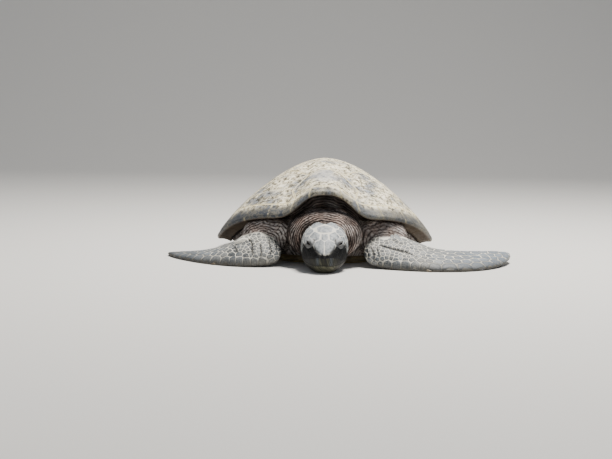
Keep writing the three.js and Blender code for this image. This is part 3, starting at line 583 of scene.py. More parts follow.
HEAD_BASE = np.array([0, -408, 25]) * MM
PITCH = np.radians(13)
HEAD_FORWARD = np.array([0, -np.cos(PITCH), -np.sin(PITCH)])
HEAD_UP = np.array([0, -np.sin(PITCH), np.cos(PITCH)])
HEAD_TOP = [(0, 94), (14, 110), (34, 118), (60, 118), (88, 111), (114, 101), (138, 87), (153, 76),
            (162, 68), (166, 61)]
HEAD_BOTTOM = [(0, 22), (20, 6), (50, -2), (85, -3), (112, -2), (134, 4), (150, 15), (160, 32),
               (164, 45), (166, 57)]
HEAD_HALF = [(0, 48), (16, 58), (38, 66), (62, 68), (90, 64), (114, 54), (136, 42), (152, 30),
             (162, 19), (166, 9)]


def in_head(forward, side, height):
    """A point from its places in the head's own frame, in mm."""
    forward, side, height = (np.asarray(v, float)[..., None] * MM for v in (forward, side, height))
    return HEAD_BASE + HEAD_FORWARD * forward + HEAD_UP * height + np.array([1, 0, 0]) * side


def head(forward, turn):
    """The head at a station and an angle (0 its left, 90 degrees the crown): a squared oval."""
    top, bottom, half = (curve(rows, forward)[..., 0] for rows in (HEAD_TOP, HEAD_BOTTOM, HEAD_HALF))
    middle = bottom + 0.46 * (top - bottom)
    c, s = np.cos(turn), np.sin(turn)
    height = middle + np.sign(s) * np.abs(s) ** 0.85 * np.where(s > 0, top - middle, middle - bottom)
    return in_head(forward, np.sign(c) * np.abs(c) ** 0.82 * half, height)


PLASTRON_WIDE, PLASTRON_LONG, PLASTRON_Y, PLASTRON_THICK = 205 * MM, 322 * MM, -22 * MM, 22 * MM


def plastron_outline(share, turn):
    """A superellipse of power 2.6, from the front round by the animal's left."""
    reach = [np.sign(f) * np.abs(f) ** (2 / 2.6) for f in (np.sin(turn), np.cos(turn))]
    return np.stack([reach[0] * PLASTRON_WIDE * share, PLASTRON_Y - reach[1] * PLASTRON_LONG * share], -1)


def trunk_rings(turn):
    """Rings from the plastron out to the marginal scutes and up under the dome, hollow over the neck."""
    degrees = np.degrees(turn)
    degrees = (degrees + 180) % 360 - 180
    depth = MM * (25 + 55 * np.sin(np.radians(np.abs(degrees))) ** 1.5)
    wall = ring_share(degrees) - 0.006
    high = dome(degrees, wall - 0.15 * np.exp(-(degrees / 52) ** 4), 34 * MM)
    low = high.copy()
    low[..., 2] = np.maximum(46 * MM, high[..., 2] - depth - 50 * MM)
    base = plastron_outline(0.965, turn)
    rings = [np.concatenate([base, np.full_like(base[..., :1], PLASTRON_THICK - 3 * MM)], -1), low, high,
             dome(degrees, wall, 13 * MM)]
    return rings + [dome(degrees, np.full_like(turn, r), (8 + 2.5 * r) * MM) for r in (0.7, 0.5, 0.28)]


VOXEL = 2 * MM
LOW = np.array([-0.60, -0.62, -0.03])
SIZE = np.array([590, 632, 170])


def signed(rings):
    """Distances from a closed solid of rings (its ends closed by fans), on the whole block of voxels."""
    rows, sides = rings.shape[:2]
    points = np.concatenate([rings.reshape(-1, 3), [rings[0].mean(0), rings[-1].mean(0)]])
    lattice = openvdb.createLinearTransform(voxelSize=VOXEL)
    grid = openvdb.FloatGrid.createLevelSetFromPolygons(
        (points - LOW).astype(np.float32), triangles=end_fans(rows, sides).astype(np.uint32),
        quads=grid_faces(rows, sides, closed=True).astype(np.uint32), transform=lattice, halfWidth=8)
    low, high = (np.array(corner) for corner in grid.evalActiveVoxelBoundingBox())
    low, high = np.maximum(low, 0), np.minimum(high + 1, SIZE)
    block = np.empty(high - low, np.float32)
    grid.copyToArray(block, tuple(int(v) for v in low))
    return block, tuple(slice(int(a), int(b)) for a, b in zip(low, high))


def join(part, blend, kind):
    """Adds a solid to the body and fills the crease between; kind 1 is scaled hide, 0 is folded skin."""
    block, where = part
    old = body[where]
    share = np.clip(0.5 + (old - block) / (2 * blend), 0, 1)
    scaled[where] += ((kind - scaled[where]) * share).astype(np.float16)
    overlap = np.maximum(blend - np.abs(old - block), 0) / blend
    body[where] = np.minimum(old, block) - overlap ** 2 * blend / 4


FAR = 8 * VOXEL
body, scaled = np.full(SIZE, FAR, np.float32), np.zeros(SIZE, np.float16)
s40, s160, t72 = np.linspace(0, 1, 41), np.linspace(0, 1, 161), np.linspace(0, 2 * np.pi, 73)[:-1]


def swept(shape, rows, share):
    return signed(shape(rows, *np.meshgrid(share, t72, indexing="ij")))


join(signed(np.stack(trunk_rings(np.linspace(0, 2 * np.pi, 161)[:-1]))), 1 * MM, 0)
join(swept(round_limb, NECK, s40), 16 * MM, 0)
for sign, rows in [(1, FRONT_LEFT), (-1, FRONT_RIGHT)]:
    join(swept(round_limb, upper_arm(sign), s40), 15 * MM, 0)
    join(swept(blade, rows, s160), 7 * MM, 1)
    join(swept(round_limb, thigh(sign), s40), 14 * MM, 0)
    join(swept(blade, hind(sign), s160), 8 * MM, 1)
join(swept(round_limb, TAIL, s40), 12 * MM, 0)
stations = 166 * np.sin(np.linspace(0, np.pi / 2, 90))
join(signed(head(*np.meshgrid(stations, t72, indexing="ij"))), 4 * MM, 1)
x, y, z = (LOW[k] + VOXEL * np.arange(SIZE[k]) for k in range(3))


def window(low, high):
    """The voxels between two corners, as slices of the block, and their points."""
    low, high = (((np.asarray(corner) - LOW) / VOXEL).astype(int) for corner in (low, high))
    where = tuple(slice(a, b) for a, b in zip(low, high))
    return where, np.stack(np.meshgrid(x[where[0]], y[where[1]], z[where[2]], indexing="ij"), -1)


EYE_PLACE, EYE_RADIUS, EYE_ROOM = (108, 36, 82), 17 * MM, 0.6 * MM
NOSTRIL, NOSTRIL_SIZE = (165, 7.5, 64), (4.5, 5.2, 3.4)
for sign in (1, -1):
    centre = in_head(EYE_PLACE[0], sign * EYE_PLACE[1], EYE_PLACE[2])
    where, at = window(centre - 30 * MM, centre + 30 * MM)
    body[where] = np.maximum(body[where], EYE_RADIUS + EYE_ROOM - np.linalg.norm(at - centre, axis=-1))
    centre = in_head(NOSTRIL[0], sign * NOSTRIL[1], NOSTRIL[2])
    where, at = window(centre - 12 * MM, centre + 12 * MM)
    off = np.stack([(at - centre) @ HEAD_FORWARD, (at - centre)[..., 0], (at - centre) @ HEAD_UP], -1)
    deep = 1 - np.linalg.norm(off / (np.array(NOSTRIL_SIZE) * MM), axis=-1)
    body[where] = np.maximum(body[where], deep * 3 * MM)

# Deep creases across the bend of each elbow and ridges of hide beside them: radius, then points, in mm.
CREASES = [
    (4.2, [(160, -420, 66), (182, -428, 62), (222, -438, 53), (240, -441, 50), (268, -454, 38)]),
    (2.7, [(136, -419, 61), (141, -432, 48), (144, -440, 35), (145, -440, 20)]),
    (2.4, [(124, -414, 58), (127, -429, 42), (130, -434, 28)]),
    (2.3, [(150, -424, 62), (156, -436, 48), (160, -444, 32)]),
    (4.0, [(-250, -387, 69), (-237, -392, 75), (-225, -401, 77), (-215, -415, 70)]),
    (3.4, [(-216, -412, 73), (-212, -427, 60), (-211, -437, 46), (-208, -445, 33)]),
    (2.8, [(-189, -423, 68), (-186, -434, 55), (-184, -442, 41), (-187, -447, 27)]),
    (2.8, [(-163, -409, 76), (-159, -425, 60), (-156, -434, 47), (-158, -440, 33)]),
    (2.4, [(-146, -397, 75), (-141, -416, 60), (-141, -430, 44)]),
    (2.4, [(-274, -380, 56), (-259, -414, 49), (-252, -431, 36)]),
]
RIDGES = [
    (9, [(171, -415, 69), (197, -403, 78), (218, -403, 74), (238, -411, 63), (261, -420, 53)]),
    (9, [(-262, -392, 64), (-240, -396, 71), (-215, -402, 74), (-190, -405, 74)]),
]


def nearness(points, radius, line):
    """How deep points lie in a tube that thins to both ends of a curved line: the most of r - distance."""
    t = np.linspace(0, 1, 40)
    rows = np.concatenate([np.linspace(0, 1, len(line))[:, None], np.array(line, float)], 1)
    path, thin = curve(rows, t) * MM, radius * MM * np.sqrt(np.sin(np.pi * (0.03 + 0.94 * t)))
    deep = np.full(points.shape[:-1], -9.0)
    for middle, size in zip(path, thin):
        deep = np.maximum(deep, size - np.linalg.norm(points - middle, axis=-1))
    return deep


for sign, tubes in [(-1, RIDGES), (1, CREASES)]:
    for radius, line in tubes:
        where, at = window((np.min(line, 0) - 20) * MM, (np.max(line, 0) + 20) * MM)
        deep, old = nearness(at, radius, line), body[where]
        blend = 5 * MM if sign < 0 else 1.5 * MM
        overlap = np.maximum(blend - np.abs(old - sign * deep), 0) / blend
        merged = np.minimum(old, -deep) if sign < 0 else np.maximum(old, deep)
        body[where] = merged + sign * overlap ** 2 * blend / 4


def creased(points):
    """1 in the creases of the elbows, 0 a little way from them; it paints them dark, partly as shade and
    partly as dirt.
    """
    value = np.zeros(len(points))
    near = np.where((np.abs(points[:, 0]) > 0.11) & (points[:, 1] < -0.36))[0]
    for radius, line in CREASES:
        deep = nearness(points[near], radius, line)
        value[near] = np.maximum(value[near], smooth(-1.6 * MM, 1.2 * MM, deep))
    return value


FLOOR = 0.3 * MM
body = np.maximum(body, FLOOR - z[None, None, :]).astype(np.float32)
grid = openvdb.FloatGrid(FAR)
grid.copyFromArray(body)
grid.transform = openvdb.createLinearTransform(voxelSize=VOXEL)
points, quads = grid.convertToQuads(0.0)
points = points.astype(float) + LOW
quads = quads.astype(np.int64)


def sampled(field, points):
    """A voxel field read at points, blended between the eight nearest voxels."""
    q = np.clip((points - LOW) / VOXEL, 0, SIZE - 1.001)
    cell = q.astype(int)
    t = q - cell
    total = 0
    for corner in np.ndindex(2, 2, 2):
        value = field[tuple((cell + corner).T)].astype(float)
        total = total + value * np.prod(np.where(corner, t, 1 - t), axis=-1)
    return total


def crest(phase):
    """Half circles from 0 to 1 that meet sharply at every whole number."""
    t = phase - np.floor(phase)
    return np.sqrt(np.maximum(1 - (2 * t - 1) ** 2, 0))


def wrinkles(along_fold, across_fold, points, size, seed, cut=0.55):
    """Folds a size apart over one length, wavering, and cut into lozenges by two slanting sets."""
    waver = 1.6 * cloud(points, 45 * MM, seed) + 0.9 * cloud(points, 17 * MM, seed + 1)
    main = crest(along_fold / size + waver)
    slants = [crest((along_fold + slope * across_fold) / (1.7 * size) + 1.3 * waver)
              for slope in (0.75, -0.65)]
    strength = 0.55 + 0.8 * cloud(points, 38 * MM, seed + 2)
    return main * (1 - cut + cut * np.minimum(slants[0], slants[1])) * strength


def hide_folds(points):
    """The folds, from 0 at a line between two to about 1.2: rings round the head, arches round the
    elbows and knees, and rings round the tail."""
    from_head = points - HEAD_BASE
    forward = from_head @ HEAD_FORWARD
    side, height = points[:, 0], from_head @ HEAD_UP - 60 * MM
    radius = np.hypot(side, height)
    lean = 0.35 + 0.45 * smooth(-0.2, 0.9, height / np.maximum(radius, MM))
    neck = wrinkles(radius - lean * forward, np.arctan2(side, height) * 80 * MM, points, 9.5 * MM, 11, 0.3)
    mirrored = points.copy()
    mirrored[:, 0] = np.abs(mirrored[:, 0])
    off = mirrored - np.array([178, -392, 52]) * MM
    far = np.linalg.norm(off, axis=1)
    arm = wrinkles(far, np.arctan2(off[:, 0], off[:, 2]) * 70 * MM, points, 8.5 * MM, 21, 0.6)
    off = mirrored - np.array([196, 400, 30]) * MM
    far = np.linalg.norm(off, axis=1)
    leg = wrinkles(far, np.arctan2(off[:, 0], off[:, 2]) * 60 * MM, points, 9 * MM, 31)
    tail = wrinkles(points[:, 1], np.arctan2(points[:, 0], points[:, 2]) * 40 * MM, points, 8 * MM, 41)
    shoulder = smooth(92 * MM, 122 * MM, mirrored[:, 0] + 0.25 * np.minimum(0, points[:, 1] + 400 * MM))
    front = neck + (arm - neck) * shoulder
    rear = tail + (leg - tail) * smooth(70 * MM, 100 * MM, mirrored[:, 0])
    return front + (rear - front) * smooth(0.0, 60 * MM, points[:, 1])


def head_marks_and_shade(points):
    """How dark the head is, below a line from the nostrils back over the eyes, and how rusty its rear.
    The dark is partly the cheeks' own colour and partly painted shade on the head's sides, and the
    nostrils are painted dark as shade.
    """
    off = points - HEAD_BASE
    forward, height = off @ HEAD_FORWARD / MM, off @ HEAD_UP / MM
    line = np.interp(forward, [0, 30, 60, 85, 100, 116, 126, 140, 152, 160, 166],
                     [80, 76, 75, 78, 83, 85, 83, 79, 75, 68, 63])
    line = line + 6 * (cloud(points, 9 * MM, 61) - 0.5)
    half = np.interp(forward, [112, 120, 130, 142, 150, 157, 163], [60, 42, 30, 23, 18, 13, 9])
    beyond = np.abs(points[:, 0]) / MM - half
    # Partly the cheeks' own dark scales, partly painted shade on the sides of the head below the line.
    dark = np.maximum(smooth(line + 3, line - 4, height), smooth(-5, 4, beyond) * (forward > 112))
    dark = dark * smooth(-6, 4, forward) * (np.abs(points[:, 0]) < 90 * MM)
    streaks = smooth(50, 62, forward) * smooth(98, 84, forward) * smooth(44, 56, height)
    # Painted shade: dark in and round each nostril's pit.
    near = np.linalg.norm(np.stack([forward, np.abs(points[:, 0] / MM), height], -1) - NOSTRIL, axis=-1)
    dark = np.maximum(dark * (1 - 0.6 * streaks), smooth(8.5, 6, near))
    edge = np.exp(-((sampled(scaled, points) - 0.35) / 0.3) ** 2) * (np.abs(points[:, 0]) < 90 * MM)
    return dark, edge * smooth(-20, 0, forward) * (0.3 + 0.7 * cloud(points, 12 * MM, 63))


def outward(points, quads):
    """Unit normals at the points, each the sum of its faces' own."""
    face = np.cross(points[quads[:, 2]] - points[quads[:, 0]], points[quads[:, 3]] - points[quads[:, 1]])
    sums = [np.bincount(quads.ravel(), np.repeat(face[:, k], 4), len(points)) for k in range(3)]
    return unit(np.stack(sums, -1))


# Each fold is pressed in between two thin crests; the hide between the scales stands a little proud.
loose = 1 - smooth(0.35, 0.9, sampled(scaled, points))
pressed = loose * (3.6 * MM * hide_folds(points) - 1.7 * MM)
pressed += loose * 3.5 * MM * (cloud(points, 42 * MM, 51) - 0.5)
pressed += (1 - loose) * (-0.35 * MM)
points = points - outward(points, quads) * pressed[:, None]
points[:, 2] = np.maximum(points[:, 2], FLOOR)

hide, tree = material("turtle_hide")
place = add(tree, "ShaderNodeTexCoord").outputs["Object"]
fold, plated, dark, rust = (add(tree, "ShaderNodeAttribute", attribute_name=name).outputs["Fac"]
                            for name in ("fold", "scaled", "dark", "rust"))
patch = add(tree, "ShaderNodeTexNoise", {"Vector": place, "Scale": 1 / (40 * MM), "Detail": 4})
pebble = add(tree, "ShaderNodeTexVoronoi", {"Vector": place, "Scale": 1 / (4.5 * MM)},
             feature="DISTANCE_TO_EDGE")
# The folds' colour: near black in the grooves is painted shade and pale on the crests is painted highlight,
# over the hide's own mauve-brown.
tone = add(tree, "ShaderNodeValToRGB", {"Fac": fold},
           stops=[(0.12, "#0e0b09"), (0.9, "#c3bebb"), (0.38, "#393331"), (0.64, "#7c7572")])
warm = add(tree, "ShaderNodeMapRange", {0: patch.outputs["Fac"], 1: 0.45, 2: 0.62, 3: 0.0, 4: 0.8})
folded = tone.outputs[0]
for share, colour in [(warm.outputs[0], "#e6d6cd"), (rust, "#cf8f60")]:
    folded = add(tree, "ShaderNodeMix", {0: share, 6: folded, 7: srgb(colour)}, data_type="RGBA",
                 blend_type="MULTIPLY").outputs[2]
parts = add(tree, "ShaderNodeSeparateXYZ", {0: place})
# Painted shade: the hide is darkened within about 3 cm of the floor.
low = add(tree, "ShaderNodeMapRange", {0: parts.outputs[2], 1: 9 * MM, 2: 32 * MM, 3: 0.93, 4: 0.0})
bare = srgb("#eae5d6")
# dark paints the cheeks' own dark colour, painted shade on the head's sides and in the nostrils, and painted
# shade in the elbows' creases.
for share, colour in [(patch.outputs["Fac"], "#d9d7cf"), (dark, "#1b1c1e"), (low.outputs[0], "#35332f")]:
    bare = add(tree, "ShaderNodeMix", {0: share, 6: bare, 7: srgb(colour)}, data_type="RGBA").outputs[2]
coat = add(tree, "ShaderNodeMix", {0: plated, 6: folded, 7: bare}, data_type="RGBA")
grain = add(tree, "ShaderNodeMapRange", {0: pebble.outputs["Distance"], 1: 0.0, 2: 0.25})
relief = add(tree, "ShaderNodeBump", {"Height": grain.outputs[0], "Distance": 0.5 * MM, "Strength": 0.7})
shade = add(tree, "ShaderNodeBsdfPrincipled", {
    "Base Color": coat.outputs[2], "Roughness": 0.68, "Normal": relief.outputs[0], "IOR": 1.45,
    "Specular IOR Level": 0.2,
})
add(tree, "ShaderNodeOutputMaterial", {"Surface": shade.outputs[0]})

dense = piece("skin_dense", points, [quads], hide)
thin = dense.modifiers.new("thin", "DECIMATE")
thin.ratio = 190000 / (2 * len(quads))
bpy.context.view_layer.update()
mesh = bpy.data.meshes.new_from_object(dense.evaluated_get(bpy.context.evaluated_depsgraph_get()))
bpy.data.objects.remove(dense)
skin = bpy.data.objects.new("skin", mesh)
bpy.context.scene.collection.objects.link(skin)
points = np.empty(3 * len(mesh.vertices), np.float32)
mesh.vertices.foreach_get("co", points)
points = points.reshape(-1, 3).astype(float)
kept = sampled(scaled, points)
attribute(skin, "scaled", smooth(0.5, 0.75, kept))
# The head's dark: its own dark cheeks with painted shade on its sides and in the nostrils.
darkness, rust = head_marks_and_shade(points)
# Painted shade, with some dirt, darkens the elbows' creases.
attribute(skin, "dark", np.maximum(darkness, 0.85 * creased(points)))
attribute(skin, "rust", rust * (1 - smooth(0.6, 0.95, kept)))
turn = np.degrees(np.arctan2(points[:, 0], CENTRE_Y - points[:, 1]))
under_rim = rim_height(turn) - 12 * MM - points[:, 2]
depth = MM * (6 + 16 * np.exp(-(turn / 19) ** 4))
off = points - HEAD_BASE
hood = smooth(124, 104, np.abs(points[:, 0]) / MM) * smooth(-80, -30, off @ HEAD_FORWARD / MM)
# Painted light: the folds are made paler toward the animal's left side of the neck and shoulders.
painted_light = smooth(15, 60, points[:, 0] / MM)
rear = smooth(0, 120, points[:, 1] / MM)
# The folds' painted shade and highlight; hood deepens the grooves' painted shade on the neck beside the head.
fold = np.clip(hide_folds(points), 0, 1) ** (0.85 - 0.2 * painted_light + (1.5 - 0.55 * painted_light) * hood)
# Painted shade: the folds are darkened just under the shell's rim, over the neck and shoulders.
rim_shade = smooth(1.4 * depth, 0.8 * depth, under_rim) * (1 - rear)
fold = fold * (1 - 0.22 * hood * (1 - painted_light)) * (1 - 0.45 * rim_shade)
attribute(skin, "fold", fold + (0.74 - fold) * 0.55 * rear)
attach(skin, "root")
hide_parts("trunk", "neck", "head", "upper_beak", "lower_jaw", "tail", *(
    f"{part}_{side}" for side in ("left", "right")
    for part in ("upper_arm", "front_flipper", "thigh", "hind_flipper")))


# ------------------------------------------------------------------ scales of the flippers
# Flat plates of grey horn on the pale hide, each grown apart from its neighbours: a row of large ones
# along the leading edge, a smaller row along the trailing one, and small ones between, larger to the tip.
def evened(raw, u_ends, v_ends, lines=97):
    """A chart of a surface whose second parameter, -1 to 1, runs by length around each section, and
    whose first, 0 to 1, runs by length along the middle line; sections are raw(u, v)."""
    us, vs = np.linspace(*u_ends, 121), np.linspace(0, 1, lines)
    way = np.linalg.norm(np.diff(raw(us, np.full_like(us, v_ends[2])), axis=0), axis=-1)
    way = np.concatenate([[0], np.cumsum(way)])
    even = np.linspace(0, 1, 65)
    tables = []
    for end in (v_ends[0], v_ends[1]):
        turns = v_ends[2] + (end - v_ends[2]) * vs
        steps = np.linalg.norm(np.diff(raw(*np.meshgrid(us, turns, indexing="ij")), axis=1), axis=-1)
        reach = np.concatenate([np.zeros((len(us), 1)), np.cumsum(steps, axis=1)], axis=1)
        reach /= reach[:, -1:]
        tables.append(np.stack([np.interp(even, row, turns) for row in reach]))

    def chart(p, q):
        u = np.interp(np.clip(p, 0, 1), way / way[-1], us)
        row = np.clip((u - us[0]) / (us[-1] - us[0]) * (len(us) - 1), 0, len(us) - 1.001)
        column = np.clip(np.abs(q), 0, 1) * (len(even) - 1.001)
        i, j = row.astype(int), column.astype(int)
        s, t = row - i, column - j
        turns = [((1 - s) * (1 - t) * table[i, j] + s * (1 - t) * table[i + 1, j]
                  + (1 - s) * t * table[i, j + 1] + s * t * table[i + 1, j + 1]) for table in tables]
        return raw(u, np.where(q < 0, turns[0], turns[1]))
    return chart


def frame_at(chart, p, q):
    """Points of a chart laid on the hide, with unit normal and tangents, and lengths per parameter."""
    step = 0.004
    along_p = (chart(p + step, q) - chart(p - step, q)) / (2 * step)
    along_q = (chart(p, q + step) - chart(p, q - step)) / (2 * step)
    normal = unit(np.cross(along_q, along_p))
    point = chart(p, q)
    probe = sampled(body, point + normal * 2 * MM) - sampled(body, point - normal * 2 * MM)
    normal = normal * np.where(probe < 0, -1, 1)[..., None]
    point = point - normal * sampled(body, point)[..., None]
    first = unit(along_p)
    second = np.cross(normal, first)
    return point, normal, first, second, along_p, along_q


def scattered(chart, size, stretch, fixed, tries, seed, box):
    """Places for scales by throwing darts: one stays if it is a scale's size from all that are there.
    Rows are (p, q, size, stretch, tone), the fixed ones first."""
    rng = np.random.default_rng(seed)
    p, q = rng.uniform(*box[0], tries), rng.uniform(*box[1], tries)
    rows = np.stack([p, q, size(p, q), stretch(p), rng.uniform(0, 1, tries)], -1)
    rows = np.concatenate([fixed.reshape(-1, 5), rows])
    p, q, span, wide = rows[:, :4].T
    points, normal, first = frame_at(chart, p, q)[:3]
    kept = list(range(len(fixed)))
    for k in range(len(fixed), len(p)):
        off = points[kept] - points[k]
        along = off @ first[k]
        far = np.sqrt(np.sum(off ** 2, 1) - along ** 2 * (1 - 1 / wide[k] ** 2))
        same = normal[kept] @ normal[k] > -0.3
        if not np.any(same & (far < 0.42 * (span[kept] + span[k]))):
            kept.append(k)
    return rows[kept]


def cell_outlines(chart, seeds, gap, count):
    """Offsets to each scale's outline: along each spoke up to the line between it and a neighbour, less
    half the seam, a larger scale taking more of the way; a spoke turns to a corner that lies near it."""
    p, q, span, wide = seeds[:, :4].T
    point, normal, first, second, along_p, along_q = frame_at(chart, p, q)
    off = point[None] - point[:, None]
    apart = np.linalg.norm(off, axis=-1) + 9.0 * (normal @ normal.T < -0.3) + 9.0 * np.eye(len(p))
    near = np.argsort(apart - span / 2, axis=1)[:, :18]
    each = np.arange(len(p))[:, None]
    off, apart = off[each, near], apart[each, near]
    x, y = np.einsum("ijk,ik->ij", off, first), np.einsum("ijk,ik->ij", off, second)
    true = apart / np.maximum(np.hypot(x, y), 1e-9)
    x, y = x * true / wide[:, None], y * true
    far = np.hypot(x, y)
    share = (far ** 2 + (span[:, None] / 2) ** 2 - (span[near] / 2) ** 2) / (2 * far)
    share = np.clip(share, 0.2 * far, 0.8 * far) - gap(p)[:, None] / 2
    fine = np.linspace(0, 2 * np.pi, 6 * count + 1)[:-1]
    facing = (x[..., None] * np.cos(fine) + y[..., None] * np.sin(fine)) / far[..., None]
    limit = np.where(facing > 0.08, share[..., None] / np.maximum(facing, 0.08), 9.0)
    owner = limit.argmin(1)
    corner = (owner != np.roll(owner, 1, axis=1)).reshape(len(p), count, 6)
    pick = np.where(corner.any(-1), corner.argmax(-1), 3) + 6 * np.arange(count)
    reach = np.minimum(np.take_along_axis(limit.min(1), pick, 1), span[:, None])
    spokes = fine[pick]
    tangent_x, tangent_y = reach * np.cos(spokes) * wide[:, None], reach * np.sin(spokes)
    a, b = np.sum(along_p * first, -1), np.sum(along_q * first, -1)
    c, d = np.sum(along_p * second, -1), np.sum(along_q * second, -1)
    det = np.maximum(np.abs(a * d - b * c), 1e-6)[:, None] * np.sign(a * d - b * c + 1e-12)[:, None]
    return ((d[:, None] * tangent_x - b[:, None] * tangent_y) / det,
            (a[:, None] * tangent_y - c[:, None] * tangent_x) / det)


PROFILE = [(0.0, 1.0), (0.6, 1.0), (0.92, 0.8), (1.0, 0.3), (1.01, -0.9)]


def scales(name, chart, seeds, gap, thick, finish, limits, hold=0, corners=14, follow=0.0):
    """Low domed plates, one for each seed, settled to the middle of their cells, as one mesh. The first
    few hold their places; a tone below 0 keeps a place bare, gap is the seam between two, and follow is
    how far the plates may move to stay on the hide where it is creased or raised."""
    for _ in range(3):
        dp, dq = cell_outlines(chart, seeds, gap, corners)
        seeds[hold:, 0] = np.clip(seeds[hold:, 0] + 0.7 * dp.mean(1)[hold:], 0.005, 0.995)
        seeds[hold:, 1] = np.clip(seeds[hold:, 1] + 0.7 * dq.mean(1)[hold:], -0.995, 0.995)
    dp, dq = cell_outlines(chart, seeds, gap, corners)
    p, q, span, _, tone = seeds.T
    fraction = np.array([f for f, _ in PROFILE])[None, :, None]
    height = np.array([h for _, h in PROFILE])[None, :, None]
    at_p = np.clip(p[:, None, None] + dp[:, None] * fraction, limits[0], limits[1])
    at_q = np.clip(q[:, None, None] + dq[:, None] * fraction, limits[2], limits[3])
    shape = at_p.shape
    point, normal = frame_at(chart, at_p.ravel(), at_q.ravel())[:2]
    lift = thick(span)[:, None, None] * np.maximum(height, 0) + np.minimum(height, 0) * MM
    lift = np.broadcast_to(lift, shape).reshape(-1, 1)
    lift = lift - np.clip(sampled(body, point), -follow, follow)[:, None]
    seen = sampled(scaled, frame_at(chart, p, q)[0]) > 0.45
    body_off = np.abs(sampled(body, chart(p, q))) < max(follow, 5 * MM)
    use = seen & body_off & (tone >= 0)
    points = (point + normal * lift).reshape(*shape, 3)[use]
    points[..., 2] = np.maximum(points[..., 2], 0.1 * MM)
    count, rings, spokes = points.shape[:3]
    centre, rest = points[:, :1, 0], points[:, 1:].reshape(count, -1, 3)
    each = 1 + (rings - 1) * spokes
    k = np.arange(spokes)
    fan = np.stack([np.zeros(spokes, int), 1 + k, 1 + (k + 1) % spokes], -1)
    sides = grid_faces(rings - 1, spokes, 1, closed=True)
    flips = np.einsum("ij,ij->i", np.cross(rest[:, 0] - centre[:, 0], rest[:, 1] - centre[:, 0]),
                      frame_at(chart, p[use], q[use])[1]) < 0
    start = np.arange(count)[:, None, None] * each
    fans, walls = fan[None] + start, sides[None, :, ::-1] + start
    fans[flips], walls[flips] = fans[flips][..., ::-1], walls[flips][..., ::-1]
    flat = np.concatenate([centre, rest], 1).reshape(-1, 3)
    made = piece(name, flat, [fans.reshape(-1, 3), walls.reshape(-1, 4)], finish)
    tone = np.repeat(tone[use], each)
    rim = np.concatenate([[0], np.repeat([f for f, _ in PROFILE][1:], spokes)])
    attribute(made, "tone", tone)
    attribute(made, "crease", creased(flat))
    attribute(made, "rim", np.tile(rim, count))
    turn = np.concatenate([[0], np.tile(2 * np.pi * k / spokes, rings - 1)])
    patch = 0.0015 * np.tile(np.stack([np.cos(turn), np.sin(turn)], -1) * rim[:, None], (count, 1))
    root = np.repeat(np.stack([p, (q + 1) / 2], -1)[use], each, axis=0)
    bake = made.data.uv_layers.new(name="OFBake")
    corner = np.empty(len(made.data.loops), np.int32)
    made.data.loops.foreach_get("vertex_index", corner)
    bake.data.foreach_set("uv", np.clip(root + patch, 0, 1)[corner].astype(np.float32).ravel())
    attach(made, "root")
    return made


scale_horn, tree = material("flipper_scale_horn")
place = add(tree, "ShaderNodeTexCoord").outputs["Object"]
tone, rim, crease = (add(tree, "ShaderNodeAttribute", attribute_name=name).outputs["Fac"]
                     for name in ("tone", "rim", "crease"))
patch = add(tree, "ShaderNodeTexNoise", {"Vector": place, "Scale": 1 / (60 * MM), "Detail": 3})
fine = add(tree, "ShaderNodeTexNoise", {"Vector": place, "Scale": 1 / (4 * MM), "Detail": 4})
parts = add(tree, "ShaderNodeSeparateXYZ", {0: place})
aside = add(tree, "ShaderNodeMath", {0: parts.outputs[0]}, operation="ABSOLUTE")
coat = add(tree, "ShaderNodeValToRGB", {"Fac": tone},
           stops=[(0.0, "#343b42"), (1.0, "#8c9093"), (0.5, "#5a6168")]).outputs[0]
for source, start, stop, first, last, colour in [
    (patch.outputs["Fac"], 0.42, 0.62, 0.0, 0.4, "#8b877c"),
    (fine.outputs["Fac"], 0.4, 0.65, 0.0, 0.35, "#bcbbb4"),
    (aside.outputs[0], 0.26, 0.46, 0.0, 0.55, "#7f8c9c"),
    # Painted shadow: a dark band just inside each scale's margin, under its raised edge.
    (rim, 0.62, 0.9, 0.0, 0.5, "#454a50"),
    (rim, 0.92, 1.0, 0.0, 0.9, "#e2dfd3"),
    # Painted shade: the scales are darkened within about 3 cm of the floor.
    (parts.outputs[2], 4 * MM, 27 * MM, 0.85, 0.0, "#35332f"),
    # Painted shade, with some dirt, in the elbows' creases.
    (crease, 0.0, 1.0, 0.0, 0.85, "#26272a"),
]:
    share = add(tree, "ShaderNodeMapRange", {0: source, 1: start, 2: stop, 3: first, 4: last})
    coat = add(tree, "ShaderNodeMix", {0: share.outputs[0], 6: coat, 7: srgb(colour)},
               data_type="RGBA").outputs[2]
relief = add(tree, "ShaderNodeBump", {"Height": fine.outputs["Fac"], "Distance": 0.6 * MM, "Strength": 0.7})
shade = add(tree, "ShaderNodeBsdfPrincipled", {
    "Base Color": coat, "Roughness": 0.55, "Normal": relief.outputs[0], "IOR": 1.5,
    "Specular IOR Level": 0.35,
})
add(tree, "ShaderNodeOutputMaterial", {"Surface": shade.outputs[0]})


def front_size(p, q):
    """Scale sizes: small on the middle of the blade near the elbow, larger to the tip and at the edges."""
    middle = 10 + 13 * smooth(0.2, 0.6, p)
    leading = 15 + 9 * smooth(0.15, 0.35, p) - 4 * p
    size = middle + (leading - middle) * smooth(0.34, 0.2, np.abs(q))
    size = np.where(np.abs(q) > 0.84, np.maximum(size, 19), size)
    return MM * np.where(q < -0.3, 1.35 * size, size)


def front_stretch(p):
    """How far a scale is drawn out lengthways, more to the tip."""
    return 1.15 + 0.45 * smooth(0.2, 0.8, p)


def scale_gap(p):
    """The seam between two scales, wider to the tip."""
    return MM * (1.1 + 0.6 * p)


def scale_thick(span):
    """How proud a scale stands, more for a large one."""
    return 0.45 * MM + 0.035 * span


